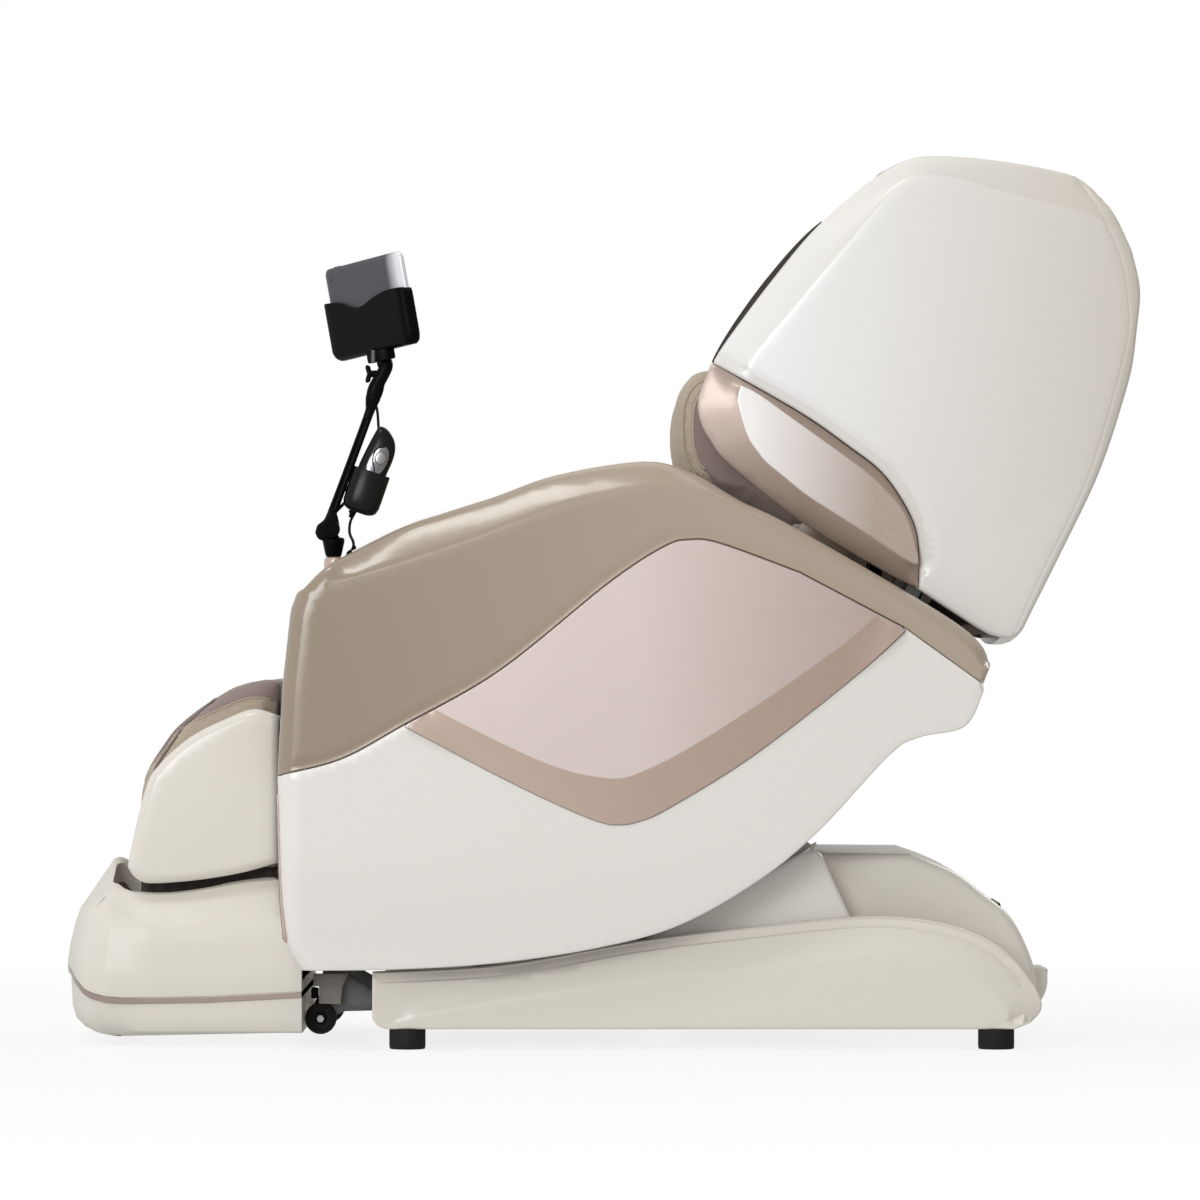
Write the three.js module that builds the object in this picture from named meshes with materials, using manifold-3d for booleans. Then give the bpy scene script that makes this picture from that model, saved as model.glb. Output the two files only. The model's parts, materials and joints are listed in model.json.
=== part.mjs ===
// Massage chair for the home: a recliner on a low base, with a head hood, a lifting leg rest, a foot
// section and a remote holder on the sitter's left armrest.
// Millimetres, +Z up. The chair faces -X, its width runs along Y, and the sitter's left is -Y.
import * as THREE from 'three';
import { mergeVertices } from 'three/addons/utils/BufferGeometryUtils.js';
import Module from 'manifold-3d';

const wasm = await Module();
wasm.setup();

// ---- driving dimensions ----
const GAP = 0.4; // clearance between touching parts
const RAD = Math.PI / 180;
const CENTRE_X = 12.2; // moves the whole chair so that its box is centred on the origin
const ARM_OUT = 402; // outer face of the side panels, from the middle plane
const ARM_IN = 362; // inner face of the side panels
const ROSE_OUT = 410; // outer face of the diamond panels
const REAR_ARM_IN = 352; // inner face of the arm covers beside the backrest
const FRONT_WRAP_IN = 292; // how far in the arm fronts wrap
const CUSHION_HALF = 258; // half width of the seat cushion
const HOOD_OUT = 325; // outer face of the hood
const HOOD_BEVEL = 300; // where the hood's bevel starts
const HOOD_IN = 285; // inner face of the hood's side shells
const WING_OUT = 335; // outer face of the wing trims
const CALF_HALF = 275; // half width of the leg rest
const RAIL_OUT = 350; // outer face of the base rails
const RAIL_IN = 305; // inner face of the base rails
const PIVOT = {
  tilt: [80, 190],
  recline: [305, 430],
  legrest: [-432, 480],
  holder: [-376, 716],
  caster: [-396, 35],
  head: [-305, 946],
};
const RECLINE_AT_REST = 26.6; // degrees the backrest leans back from upright
const HOLDER_Y = -322; // the plane of the remote holder's arm
const CASTER_Y = 170;

// ---- colours ----
const finish = (color, roughness, metalness = 0) => ({ color, roughness, metalness });
const WHITE = finish(0xe2dfdc, 0.3);
const CREAM = finish(0xd6d2c8, 0.4);
const TAUPE = finish(0xa29584, 0.4);
const ROSE = finish(0xd1c2bd, 0.35, 0.3);
const ROSE_GOLD = finish(0xc9aea4, 0.25, 0.7);
const TAN = finish(0xb5a999, 0.7);
const MAUVE = finish(0x9b8884, 0.75);
const BROWN = finish(0x736660, 0.8);
const BLACK = finish(0x151315, 0.5);
const GREY = finish(0x515257, 0.4);
const SILVER = finish(0xb9babd, 0.3, 0.6);
const STEEL = finish(0x6d6f73, 0.4, 0.8);
const RUBBER = finish(0x1c1b1c, 0.9);

// ---- shape helpers ----
function toSolid(geometry) {
  const bare = geometry.clone();
  bare.deleteAttribute('normal');
  bare.deleteAttribute('uv');
  const merged = mergeVertices(bare, 1e-3);
  return new wasm.Manifold(new wasm.Mesh({
    numProp: 3,
    vertProperties: new Float32Array(merged.attributes.position.array),
    triVerts: new Uint32Array(merged.index.array),
  }));
}

function toGeometry(solid) {
  const mesh = solid.getMesh();
  const geometry = new THREE.BufferGeometry();
  geometry.setAttribute('position', new THREE.BufferAttribute(mesh.vertProperties, 3));
  geometry.setIndex(new THREE.BufferAttribute(mesh.triVerts, 1));
  geometry.computeVertexNormals();
  return geometry;
}

const add = (first, ...rest) => rest.reduce((sum, next) => sum.add(next), first);
const cut = (first, ...rest) => rest.reduce((left, next) => left.subtract(next), first);

// A smooth open curve through [a, b] points, sampled into steps.
function curve(points, steps = points.length * 2) {
  return new THREE.SplineCurve(points.map(([a, b]) => new THREE.Vector2(a, b)))
    .getPoints(steps).map((p) => [p.x, p.y]);
}

const shapeOf = (outline) => new THREE.Shape(outline.map(([a, b]) => new THREE.Vector2(a, b)));

// An [x, z] outline extruded across the width, from y0 to y1.
function slab(outline, y0, y1) {
  const geometry = new THREE.ExtrudeGeometry(shapeOf(outline), { depth: y1 - y0, bevelEnabled: false });
  return toSolid(geometry.rotateX(Math.PI / 2).translate(0, y1, 0));
}

// An [x, y] outline extruded upwards, from z0 to z1.
function prism(outline, z0, z1) {
  const geometry = new THREE.ExtrudeGeometry(shapeOf(outline), { depth: z1 - z0, bevelEnabled: false });
  return toSolid(geometry.translate(0, 0, z0));
}

// A solid through matching [x, z] outlines, each at its own y, in order of rising y.
function loft(outlines, ys) {
  const flat = outlines.map((outline) => outline.map(([x, z]) => new THREE.Vector2(x, z)));
  if (THREE.ShapeUtils.area(flat[0]) < 0) flat.forEach((outline) => outline.reverse());
  const count = flat[0].length;
  const last = (flat.length - 1) * count;
  const positions = flat.flatMap((outline, k) => outline.flatMap((p) => [p.x, ys[k], p.y]));
  const faces = [
    ...THREE.ShapeUtils.triangulateShape(flat[0], []),
    ...THREE.ShapeUtils.triangulateShape(flat.at(-1), []).map(([a, b, c]) => [last + a, last + c, last + b]),
  ];
  for (let k = 0; k < flat.length - 1; k += 1) {
    for (let i = 0; i < count; i += 1) {
      const j = (i + 1) % count;
      const [a, b, c, d] = [k * count + i, k * count + j, (k + 1) * count + j, (k + 1) * count + i];
      faces.push([a, d, c], [a, c, b]);
    }
  }
  const geometry = new THREE.BufferGeometry();
  geometry.setAttribute('position', new THREE.Float32BufferAttribute(positions, 3));
  geometry.setIndex(faces.flat());
  return toSolid(geometry);
}

const block = (x0, x1, y0, y1, z0, z1) => toSolid(new THREE.BoxGeometry(x1 - x0, y1 - y0, z1 - z0)
  .translate((x0 + x1) / 2, (y0 + y1) / 2, (z0 + z1) / 2));

// A cylinder along Y around [x, z], from y0 to y1.
const rod = ([x, z], r, y0, y1, sides = 16) => toSolid(
  new THREE.CylinderGeometry(r, r, y1 - y0, sides).translate(x, (y0 + y1) / 2, z));

// A cylinder along Z around [x, y], from z0 to z1, with its own top and bottom radius.
const post = ([x, y], r, z0, z1, sides = 16, top = r) => toSolid(
  new THREE.CylinderGeometry(top, r, z1 - z0, sides).rotateX(Math.PI / 2).translate(x, y, (z0 + z1) / 2));

// A closed rectangle or round section carried along a 3-D path.
function sweep(section, points, steps) {
  const path = new THREE.CatmullRomCurve3(points.map((p) => new THREE.Vector3(...p)));
  return toSolid(new THREE.ExtrudeGeometry(shapeOf(section), { steps, extrudePath: path }));
}

const ring = (r, sides) => Array.from({ length: sides }, (_, i) => [
  r * Math.cos((2 * Math.PI * i) / sides), r * Math.sin((2 * Math.PI * i) / sides)]);
const rectangle = (w, h) => [[-w / 2, -h / 2], [w / 2, -h / 2], [w / 2, h / 2], [-w / 2, h / 2]];

// A rectangle of [a, b] points with round corners.
function roundedRectangle(a0, a1, b0, b1, r, steps = 3) {
  const corners = [[a1 - r, b1 - r, 0], [a0 + r, b1 - r, 90], [a0 + r, b0 + r, 180], [a1 - r, b0 + r, 270]];
  return corners.flatMap(([a, b, start]) => Array.from({ length: steps + 1 }, (_, i) => {
    const angle = (start + (90 * i) / steps) * RAD;
    return [a + r * Math.cos(angle), b + r * Math.sin(angle)];
  }));
}

const mirrored = (solid) => solid.mirror([0, 1, 0]);
const lowered = (points, by) => points.map(([x, z]) => [x, z - by]);
const reversed = (points) => [...points].reverse();

const chair = new THREE.Group();
chair.position.x = CENTRE_X;

function piece(name, solid, look, parent = chair) {
  const mesh = new THREE.Mesh(toGeometry(solid), new THREE.MeshStandardMaterial(look));
  mesh.name = name;
  parent.add(mesh);
  return mesh;
}

// The same solid on the sitter's left (-Y) and mirrored on the right (+Y). make builds the right one.
function pair(name, solid, look, parent = chair) {
  piece(`${name}_right`, solid, look, parent);
  piece(`${name}_left`, mirrored(solid), look, parent);
}

// ---- base: frame, rails, rear cover, feet, casters ----
const RAIL_BOTTOM = 28;
const railFull = [
  [-308, RAIL_BOTTOM], [565, RAIL_BOTTOM], [592, 41], [603, 62], [585, 98], [545, 140], [490, 167],
  [420, 181], [338, 182], [186, 166], [49, 149], [-143, 116], [-319, 106], [-319, 42]];
const railFace = [
  [-290, RAIL_BOTTOM], [530, RAIL_BOTTOM], [552, 38], [556, 56], [530, 86], [500, 110], [465, 124],
  [406, 131], [338, 128], [186, 109], [49, 95], [-143, 68], [-262, 48], [-290, 38]];
pair('base_rail', loft([railFull, railFull, railFace], [RAIL_IN, 332, RAIL_OUT]), CREAM);

const BEAM = { out: 240, in: 200, z0: 34, z1: 74 };
const FRAME_FRONT = -316;
const FRAME_REAR = 560;
const baseFrame = add(
  block(FRAME_FRONT, FRAME_REAR, BEAM.in, BEAM.out, BEAM.z0, BEAM.z1),
  block(FRAME_FRONT, FRAME_REAR, -BEAM.out, -BEAM.in, BEAM.z0, BEAM.z1),
  ...[FRAME_FRONT, 60, 520].map((x) => block(x, x + 40, -(RAIL_IN - GAP), RAIL_IN - GAP, BEAM.z0,
    BEAM.z1 - 4)),
);
piece('base_frame', baseFrame, STEEL);

// the rear cover: a hump across the back of the base, open underneath, with a wedge on each side
const COVER_HALF = RAIL_IN - GAP;
const humpTop = [[596, 112], [578, 156], [557, 187], [522, 215], [494, 237], [459, 254], [423, 267],
  [301, 268]];
const humpOuter = [[340, 78], [602, 78], ...humpTop, [284, 262]];
const humpInner = [[352, 70], [590, 70], ...humpTop.map(([x, z]) => [x - 8, z - 12]), [300, 240]];
const wedge = [[-6, 114], [270, 270], [284, 276], [300, 268], [350, 160], [350, 78], [20, 78]];
const rearCover = cut(
  add(slab(humpOuter, -262, 262), slab(wedge, 262, COVER_HALF), slab(wedge, -COVER_HALF, -262)),
  slab(humpInner, -250, 250),
);
piece('rear_cover', rearCover, CREAM);

const FOOT_HEIGHT = RAIL_BOTTOM - GAP;
const FEET = { front: [-271, 328], rear: [540, 328] };
Object.entries(FEET).forEach(([where, at]) => {
  pair(`foot_${where}`, post(at, 25, 0, FOOT_HEIGHT, 20, 22), RUBBER);
});

const WHEEL = { r: 22, width: 24 };
const casterArm = [[-317, 45], [-362, 44], [-384, 35], [-396, 27], [-405, 31], [-406, 42], [-398, 60],
  [-398, 96], [-362, 98], [-330, 80], [-317, 72]];
const casterPin = 5;
const casterBracket = add(
  ...[-1, 1].flatMap((side) => {
    const [near, far] = [CASTER_Y - WHEEL.width / 2 - 5, CASTER_Y + WHEEL.width / 2 + 1];
    return [near, far].map((y) => slab(casterArm, Math.min(side * y, side * (y + 4)),
      Math.max(side * y, side * (y + 4))));
  }),
  block(-322, -317, -195, 195, 46, 72),
  ...[-1, 1].map((side) => rod(PIVOT.caster, casterPin, side * CASTER_Y - 16, side * CASTER_Y + 16, 12)),
);
piece('caster_bracket', casterBracket, GREY);
const casterWheel = cut(
  rod(PIVOT.caster, WHEEL.r, CASTER_Y - WHEEL.width / 2, CASTER_Y + WHEEL.width / 2, 24),
  rod(PIVOT.caster, casterPin + GAP, CASTER_Y - 20, CASTER_Y + 20, 12),
);
pair('caster_wheel', casterWheel, RUBBER);

const SWITCH = { x: 602, y: -150, z: 92 };
const inletBox = cut(
  block(SWITCH.x + GAP, 618, SWITCH.y - 50, SWITCH.y + 50, 80, 108),
  block(606, 620, SWITCH.y + 12, SWITCH.y + 40, 83, 105),
  block(608, 620, SWITCH.y - 40, SWITCH.y - 2, 84, 104),
);
piece('power_inlet', inletBox, BLACK);
const rocker = slab([[609.5, 85.5], [617, 85.5], [618.5, 94], [621, 102.5], [609.5, 102.5]],
  SWITCH.y + 13, SWITCH.y + 39);
piece('power_switch', rocker, finish(0x9c2f2a, 0.4));

// ---- slide carriage with the tilt shaft ----
const CARRIAGE = { x0: -190, x1: 190, z0: BEAM.z1 + GAP, z1: BEAM.z1 + 20 };
const ear = (at, foot, r) => [[foot[0], foot[2]], [foot[1], foot[2]],
  [at[0] + r, at[1]], [at[0] + r * 0.7, at[1] + r * 0.7], [at[0], at[1] + r],
  [at[0] - r * 0.7, at[1] + r * 0.7], [at[0] - r, at[1]]];
const tiltEar = ear(PIVOT.tilt, [40, 120, CARRIAGE.z1 - 2], 20);
const SHAFT_R = 10;
const carriage = add(
  block(CARRIAGE.x0, CARRIAGE.x1, 202, 238, CARRIAGE.z0, CARRIAGE.z1),
  block(CARRIAGE.x0, CARRIAGE.x1, -238, -202, CARRIAGE.z0, CARRIAGE.z1),
  block(-100, -60, -238, 238, CARRIAGE.z0, CARRIAGE.z1),
  block(60, 100, -238, 238, CARRIAGE.z0, CARRIAGE.z1),
  slab(tiltEar, 212, 224), slab(tiltEar, -224, -212),
  rod(PIVOT.tilt, SHAFT_R, -245, 245),
);
piece('slide_carriage', carriage, STEEL);

// ---- seat: frame, cushion, arms, side panels ----
const FRAME_Z = [322, 346];
const tiltHanger = cut(
  slab([[50, FRAME_Z[0] + 4], [110, FRAME_Z[0] + 4], [100, 190], [94, 176], [80, 170], [66, 176],
    [60, 190]], 226, 238),
  rod(PIVOT.tilt, SHAFT_R + GAP, 220, 245),
);
const PIN_R = 7;
const legrestEar = cut(
  slab([[-410, FRAME_Z[0]], [-385, FRAME_Z[0]], [-400, 420], [-418, 484], [-425, 492], [-436, 493],
    [-445, 484], [-443, 472], [-428, 440], [-414, 390]], 278, 290),
  rod(PIVOT.legrest, PIN_R + GAP, 270, 300),
);
const reclineEar = cut(
  slab([[240, FRAME_Z[0]], [262, FRAME_Z[0]], [330, 420], [330, 440], [318, 452], [292, 452], [280, 440]],
    292, 304),
  rod(PIVOT.recline, PIN_R + GAP, 285, 310),
);
const seatFrame = add(
  ...[-1, 1].map((s) => block(-410, 262, Math.min(s * 330, s * (ARM_IN - GAP)),
    Math.max(s * 330, s * (ARM_IN - GAP)), ...FRAME_Z)),
  ...[[-410, -385], [60, 100], [230, 262]].map(([x0, x1]) => block(x0, x1, -335, 335, ...FRAME_Z)),
  block(-390, 240, -200, 200, FRAME_Z[1] - 6, FRAME_Z[1]),
  tiltHanger, mirrored(tiltHanger),
  legrestEar, mirrored(legrestEar),
  reclineEar, mirrored(reclineEar),
);
piece('seat_frame', seatFrame, STEEL);

const CUSHION_Z = FRAME_Z[1] + GAP;
const cushion = [[-392, CUSHION_Z], [188, CUSHION_Z], ...curve([[190, 400], [180, 440], [150, 450], [0, 446],
  [-250, 462], [-350, 478], [-385, 472], [-398, 440], [-396, 390]], 16)];
piece('seat_cushion', slab(cushion, -CUSHION_HALF, CUSHION_HALF), MAUVE);

// side panel: the white shell below, the taupe arm cover above, split along one curve
const split = [...curve([[-448, 378], [-361, 400], [-274, 447], [-143, 522], [8, 643], [83, 692], [117, 701],
  [159, 696], [268, 656]], 20), [412, 580], [519, 503]];
const frontLow = curve([[-416, 110], [-438, 153], [-445, 262], [-448, 377]], 8);
const panelBottom = curve([[520, 495], [494, 445], [432, 430], [391, 406], [295, 303], [213, 235], [104, 173],
  [-6, 142], [-143, 121], [-279, 112], [-416, 110]], 26);
const panelFull = [...lowered(split, 1), ...panelBottom, ...frontLow.slice(1, -1)];
const BEVEL = 22; // how far the front corner's facet runs in
const panelFace = panelFull.map(([x, z]) => [Math.max(x, -446 + BEVEL), z]);
const frontStrip = [...frontLow, ...reversed(frontLow).map(([x, z]) => [x + 16, z])];
const sidePanel = add(
  loft([panelFull, panelFull, panelFace], [ARM_IN, 384, ARM_OUT]),
  slab(frontStrip, FRONT_WRAP_IN, ARM_IN + 2),
);
pair('side_panel', sidePanel, WHITE);

const ridge = curve([[-380, 640], [-266, 673], [-184, 700], [-74, 741], [-6, 759], [63, 773], [117, 770],
  [159, 755],
  [213, 727], [268, 693], [377, 632], [487, 563], [516, 528]], 24);
const crest = curve([[-398, 656], [-286, 714], [-218, 738], [-149, 760], [-81, 785], [-6, 801], [56, 808],
  [90, 804], [131, 788], [186, 755], [268, 714], [487, 584], [530, 530]], 24);
const armFront = curve([[-448, 379], [-442, 495], [-430, 604]], 4);
const armFull = [...armFront, [-420, 632], ...crest, [519, 504], ...reversed(split).slice(1, -1)];
const armFace = [...armFront.map(([x, z]) => [x + BEVEL, z]), [-402, 626], ...ridge, [519, 504],
  ...reversed(split).slice(1, -1).map(([x, z]) => [Math.max(x, -446 + BEVEL), z])];
const armStrip = [...armFront, [-420, 632], [-404, 632], ...reversed(armFront).map(([x, z]) => [x + 16, z])];
const armCover = add(
  loft([armFull, armFull, armFace], [REAR_ARM_IN, 376, ARM_OUT]),
  slab(armStrip, FRONT_WRAP_IN, REAR_ARM_IN + 2),
);
pair('arm_cover', armCover, TAUPE);

// diamond panel on each side, with a band sloping along its two lower edges
const upperEdge = split.filter(([x]) => x > -270 && x < 412).map(([x, z]) => [x, z - 2]);
const lowerEdge = curve([[412, 576], [336, 508], [200, 403], [87, 333], [49, 316], [22, 311], [-6, 315],
  [-60, 337],
  [-143, 377], [-272, 445]], 18);
const bandEdge = curve([[366, 590], [320, 552], [215, 478], [110, 412], [49, 382], [22, 374], [-10, 376],
  [-55, 386],
  [-115, 410], [-220, 462]], 18);
const roseOuter = [...upperEdge, ...lowerEdge];
const roseInner = [...upperEdge, ...bandEdge];
pair('rose_panel', loft([roseOuter, roseOuter, roseInner], [ARM_OUT + GAP, ARM_OUT + 2.5, ROSE_OUT]), ROSE);

// vent slit on the front corner of each side panel
const ventEdge = frontLow.filter(([, z]) => z > 150 && z < 350);
const vent = slab([...ventEdge.map(([x, z]) => [x - GAP, z]), ...reversed(ventEdge).map(([x,
  z]) => [x - 3, z])], 366, 382);
pair('front_vent', vent, ROSE_GOLD);

// armrest pads and, below them, the hip pads that line the seat
const PAD_IN = 266;
const padTop = crest.filter(([x]) => x > -405 && x < 80);
const armPadOutline = [[-402, 600], [84, 600], [84, 802], ...reversed(lowered(padTop, 2)), [-402, 640]];
const HOLDER_AT = [-371, HOLDER_Y];
const BOOT_AT = [-345, HOLDER_Y];
const armPad = slab(armPadOutline, PAD_IN, REAR_ARM_IN - GAP);
piece('arm_pad_right', armPad, MAUVE);
piece('arm_pad_left', cut(mirrored(armPad),
  post(HOLDER_AT, 19 + GAP, 625, 700, 20), block(HOLDER_AT[0], BOOT_AT[0] + 6, HOLDER_Y - 6, HOLDER_Y + 6,
    636, 720)), MAUVE);
pair('hip_pad', slab([[-378, FRAME_Z[1] + GAP], [200, FRAME_Z[1] + GAP], [200, 480], [84, 600 - GAP],
  [-378, 600 - GAP]],
  PAD_IN, 350), MAUVE);

// ---- backrest, drawn upright and then leaned back about the recline pivot ----
const back = new THREE.Group();
back.position.set(PIVOT.recline[0], 0, PIVOT.recline[1]);
back.rotation.y = RECLINE_AT_REST * RAD;
chair.add(back);

const hoodFront = curve([[-371, 393], [-364, 443], [-348, 530], [-327, 619], [-296, 696], [-275, 737]], 8);
const hoodTop = curve([[-275, 737], [-250, 768], [-211, 791], [-140, 819], [-66, 841], [-25, 846],
  [28, 827], [77, 790]], 12);
const hoodRear = curve([[77, 790], [112, 746], [133, 694], [151, 642], [162, 586], [171, 528], [176, 469],
  [177, 380],
  [177, 283], [176, 248], [161, 233], [126, 228], [60, 235], [24, 239]], 20);
const wingTop = curve([[24, 239], [0, 287], [-21, 316], [-58, 343], [-98, 362], [-149, 372], [-232, 384],
  [-371, 391]], 12);
const hoodFull = [...hoodFront, ...hoodTop.slice(1), ...hoodRear.slice(1), ...wingTop.slice(1, -1)];
const hoodMiddle = new THREE.Vector2(-90, 560);
const inset = ([u, v], by) => {
  const inward = hoodMiddle.clone().sub(new THREE.Vector2(u, v)).normalize();
  return [u + inward.x * by, v + inward.y * by];
};
const hoodFace = [
  ...hoodFront.map((p) => inset(p, 48)), ...hoodTop.slice(1).map((p) => inset(p, 46)),
  ...hoodRear.slice(1).map((p) => inset(p, 22)), ...wingTop.slice(1, -1)];
const hoodSide = loft([hoodFull, hoodFull, hoodFace], [HOOD_IN, HOOD_BEVEL, HOOD_OUT]);
pair('hood_side', hoodSide, WHITE, back);

const SHELL = 14;
const SHELL_HALF = HOOD_IN - GAP;
const rearLine = [...hoodTop, ...hoodRear.slice(1).filter(([u, v]) => u > 150 || v > 300)];
const rearInner = rearLine.map((p) => inset(p, SHELL));
piece('hood_rear', slab([...rearLine, ...reversed(rearInner)], -SHELL_HALF, SHELL_HALF), WHITE, back);

const wingLow = curve([[22, 240], [-37, 241], [-165, 251], [-285, 276], [-325, 294], [-350, 313], [-366, 340],
  [-371, 386]], 12);
const wingOutline = [...lowered(wingTop, 1.2), ...reversed(wingLow).slice(1, -1)];
const wingFace = wingOutline.map(([u, v]) => [u * 0.97 - 3, v * 0.96 + 13]);
pair('wing_trim', loft([wingOutline, wingOutline, wingFace], [HOOD_IN, WING_OUT - 6, WING_OUT]),
  ROSE_GOLD, back);

const linerOuter = rearInner.slice(0, 14).map((p) => inset(p, GAP + 0.5));
const linerInner = linerOuter.map((p) => inset(p, 12));
piece('hood_liner', slab([...linerOuter, ...reversed(linerInner)], -SHELL_HALF, SHELL_HALF), BLACK, back);

const backPad = [[-72, 34], ...curve([[-110, 26], [-150, 50], [-158, 180], [-140, 330], [-150, 480],
  [-160, 640],
  [-140, 690], [-90, 700]], 14), [-72, 690]];
piece('back_pad', slab(backPad, -204, 204), MAUVE, back);
const pillow = curve([[-164, 520], [-185, 500], [-212, 540], [-220, 600], [-205, 665], [-180, 690],
  [-166, 670]], 12);
piece('head_pillow', slab(pillow, -150, 150), MAUVE, back);
const bolster = [...curve([[-372, 386], [-392, 366], [-397, 330], [-386, 296], [-366, 260], [-341, 234],
  [-319, 224]], 10),
  [-160, 240], [-120, 300], [-120, 400], [-200, 410]];
pair('shoulder_bolster', slab(bolster, 206, HOOD_IN - GAP), MAUVE, back);

// back frame: side plates, cross members and the rails that the massage head runs on
const backLug = add(
  slab([[-16, -4], [-10, -14], [0, -18], [10, -14], [18, 0], [30, 200], [30, 250], [10, 250], [8, 200]],
    268, 283),
  rod([0, 0], PIN_R, 280, 305.5),
);
const MAST = { in: 238, out: 268.5, u0: 10, u1: 30 };
const RAIL = { in: 108, out: 126, u0: 10, u1: 34 };
const backFrame = add(
  ...[-1, 1].flatMap((s) => [
    block(MAST.u0, MAST.u1, Math.min(s * MAST.in, s * MAST.out), Math.max(s * MAST.in, s * MAST.out), 40,
      700),
    block(RAIL.u0, RAIL.u1, Math.min(s * RAIL.in, s * RAIL.out), Math.max(s * RAIL.in, s * RAIL.out), 40,
      720),
  ]),
  ...[40, 690].map((v) => block(MAST.u0, MAST.u1, -MAST.out, MAST.out, v, v + 30)),
  backLug, mirrored(backLug),
  block(MAST.u0, 146, 240, 262, 560, 590), block(MAST.u0, 146, -262, -240, 560, 590),
);
piece('back_frame', backFrame, STEEL, back);
const skirt = [[34, 44], [44, 32], [56, 36], [118, 214], [150, 238], [146, 248], [106, 226], [46, 50]];
piece('back_skirt', slab(skirt, -230, 230), BROWN, back);

// massage head: a carriage on the rails, and two rocking arms with a roller at each end
const HEAD_V = 225;
const headBody = add(
  block(-4, 44, -(RAIL.in - GAP), RAIL.in - GAP, HEAD_V - 70, HEAD_V + 70),
  block(38, 52, -140, 140, HEAD_V - 20, HEAD_V + 20),
);
const axlePin = rod([-16, HEAD_V], 6, -80, 80);
const axleHolder = slab([[-2, HEAD_V - 14], [-2, HEAD_V + 14], [-16, HEAD_V + 8], [-23, HEAD_V],
  [-16, HEAD_V - 8]], -8, 8);
piece('massage_carriage', add(headBody, axlePin, axleHolder), GREY, back);
const rollerCheek = [[-22, HEAD_V - 14], [-48, HEAD_V - 64], [-60, HEAD_V - 58], [-38, HEAD_V],
  [-60, HEAD_V + 58],
  [-48, HEAD_V + 64], [-22, HEAD_V + 14], [-6, HEAD_V + 8], [-6, HEAD_V - 8]];
const rollerFrame = cut(
  add(
    slab(rollerCheek, 52, 64), slab(rollerCheek, -64, -52),
    rod([-32, HEAD_V], 5, -60, 60, 10),
    ...[-60, 60].flatMap((dv) => [[36, 80], [-80, -36]].map(([y0, y1]) => rod([-48, HEAD_V + dv], 18, y0,
      y1))),
  ),
  rod([-16, HEAD_V], 6 + GAP, -90, 90),
);
piece('roller_frame', rollerFrame, BLACK, back);

// ---- leg rest: hinged frame, side shells and a pad with two calf channels ----
const LEG_PLATE = [-447.6, -436];
const legFrame = add(
  block(...LEG_PLATE, -272, 272, 262, 478),
  ...[-1, 1].flatMap((s) => [
    rod(PIVOT.legrest, 10, Math.min(s * 250, s * 277), Math.max(s * 250, s * 277), 16),
    rod(PIVOT.legrest, PIN_R, Math.min(s * 270, s * 291), Math.max(s * 270, s * 291), 16),
    post([-442, s * 200], 8, 70, 300, 12),
  ]),
);
piece('legrest_frame', legFrame, STEEL);
const calfTop = curve([[-450, 458], [-484, 468], [-523, 455], [-575, 428], [-618, 389], [-636, 356],
  [-658, 264],
  [-658, 244], [-643, 229], [-620, 226], [-560, 231], [-501, 241], [-450, 255]], 24);
const calfFace = calfTop.map(([x, z]) => [x + (x + 555) * -0.03 + (x > -460 ? -2 : 0),
  z + (z - 350) * -0.05]);
pair('calf_shell', loft([calfTop, calfTop, calfFace], [236, 266, CALF_HALF]), WHITE);
const calfPadOutline = [...curve([[-452, 515], [-474, 517], [-498, 511], [-522, 503], [-552, 484],
  [-599, 443],
  [-636, 389], [-646, 357]], 12), [-650, 262], [-630, 240], [-452, 262]];
const CHANNEL = { in: 42, out: 196 };
const channelPlan = (s) => roundedRectangle(-700, -498, s * (s > 0 ? CHANNEL.in : CHANNEL.out),
  s * (s > 0 ? CHANNEL.out : CHANNEL.in), 40, 3);
const calfPad = cut(
  slab(calfPadOutline, -(236 - GAP), 236 - GAP),
  prism(channelPlan(1), 200, 560), prism(channelPlan(-1), 200, 560),
);
piece('calf_pad', calfPad, BROWN);

// ---- foot section: hollow shell with two foot wells, an inlaid strip and sole pads ----
const footOutline = [
  ...curve([[-652, 208], [-666, 234], [-678, 263], [-692, 257], [-707, 240], [-721, 219], [-738, 189],
    [-749, 138],
    [-756, 98]], 12),
  ...curve([[-756, 98], [-751, 70], [-748, 50], [-738, 34], [-718, 23], [-672, 15], [-602, 12],
    [-430, 11]], 10).slice(1),
  [-422, 98], [-428, 222], [-450, 230], [-540, 216]];
const footPlan = [[-422, -CALF_HALF], [-422, CALF_HALF],
  ...curve([[-690, CALF_HALF], [-728, 258], [-750, 215], [-758, 150], [-760, 0], [-758, -150], [-750, -215],
    [-728, -258], [-690, -CALF_HALF]], 16)];
const WELL = { x0: -706, x1: -482, in: 30, out: 246, floor: 46 };
const wellPlan = (s, grow) => roundedRectangle(WELL.x0 - grow, WELL.x1 + grow,
  (s > 0 ? WELL.in : -WELL.out) - grow, (s > 0 ? WELL.out : -WELL.in) + grow, 50 + grow, 4);
const stripPath = [[-423, 277, 72], [-548, 277, 64], [-663, 276, 63], [-706, 270, 70], [-738, 246, 82],
  [-753, 190, 98],
  [-758, 90, 106], [-759, 0, 107], [-758, -90, 106], [-753, -190, 98], [-738, -246, 82], [-706, -270, 70],
  [-663, -276, 63], [-548, -277, 64], [-423, -277, 72]];
const STRIP_STEPS = 40;
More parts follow.
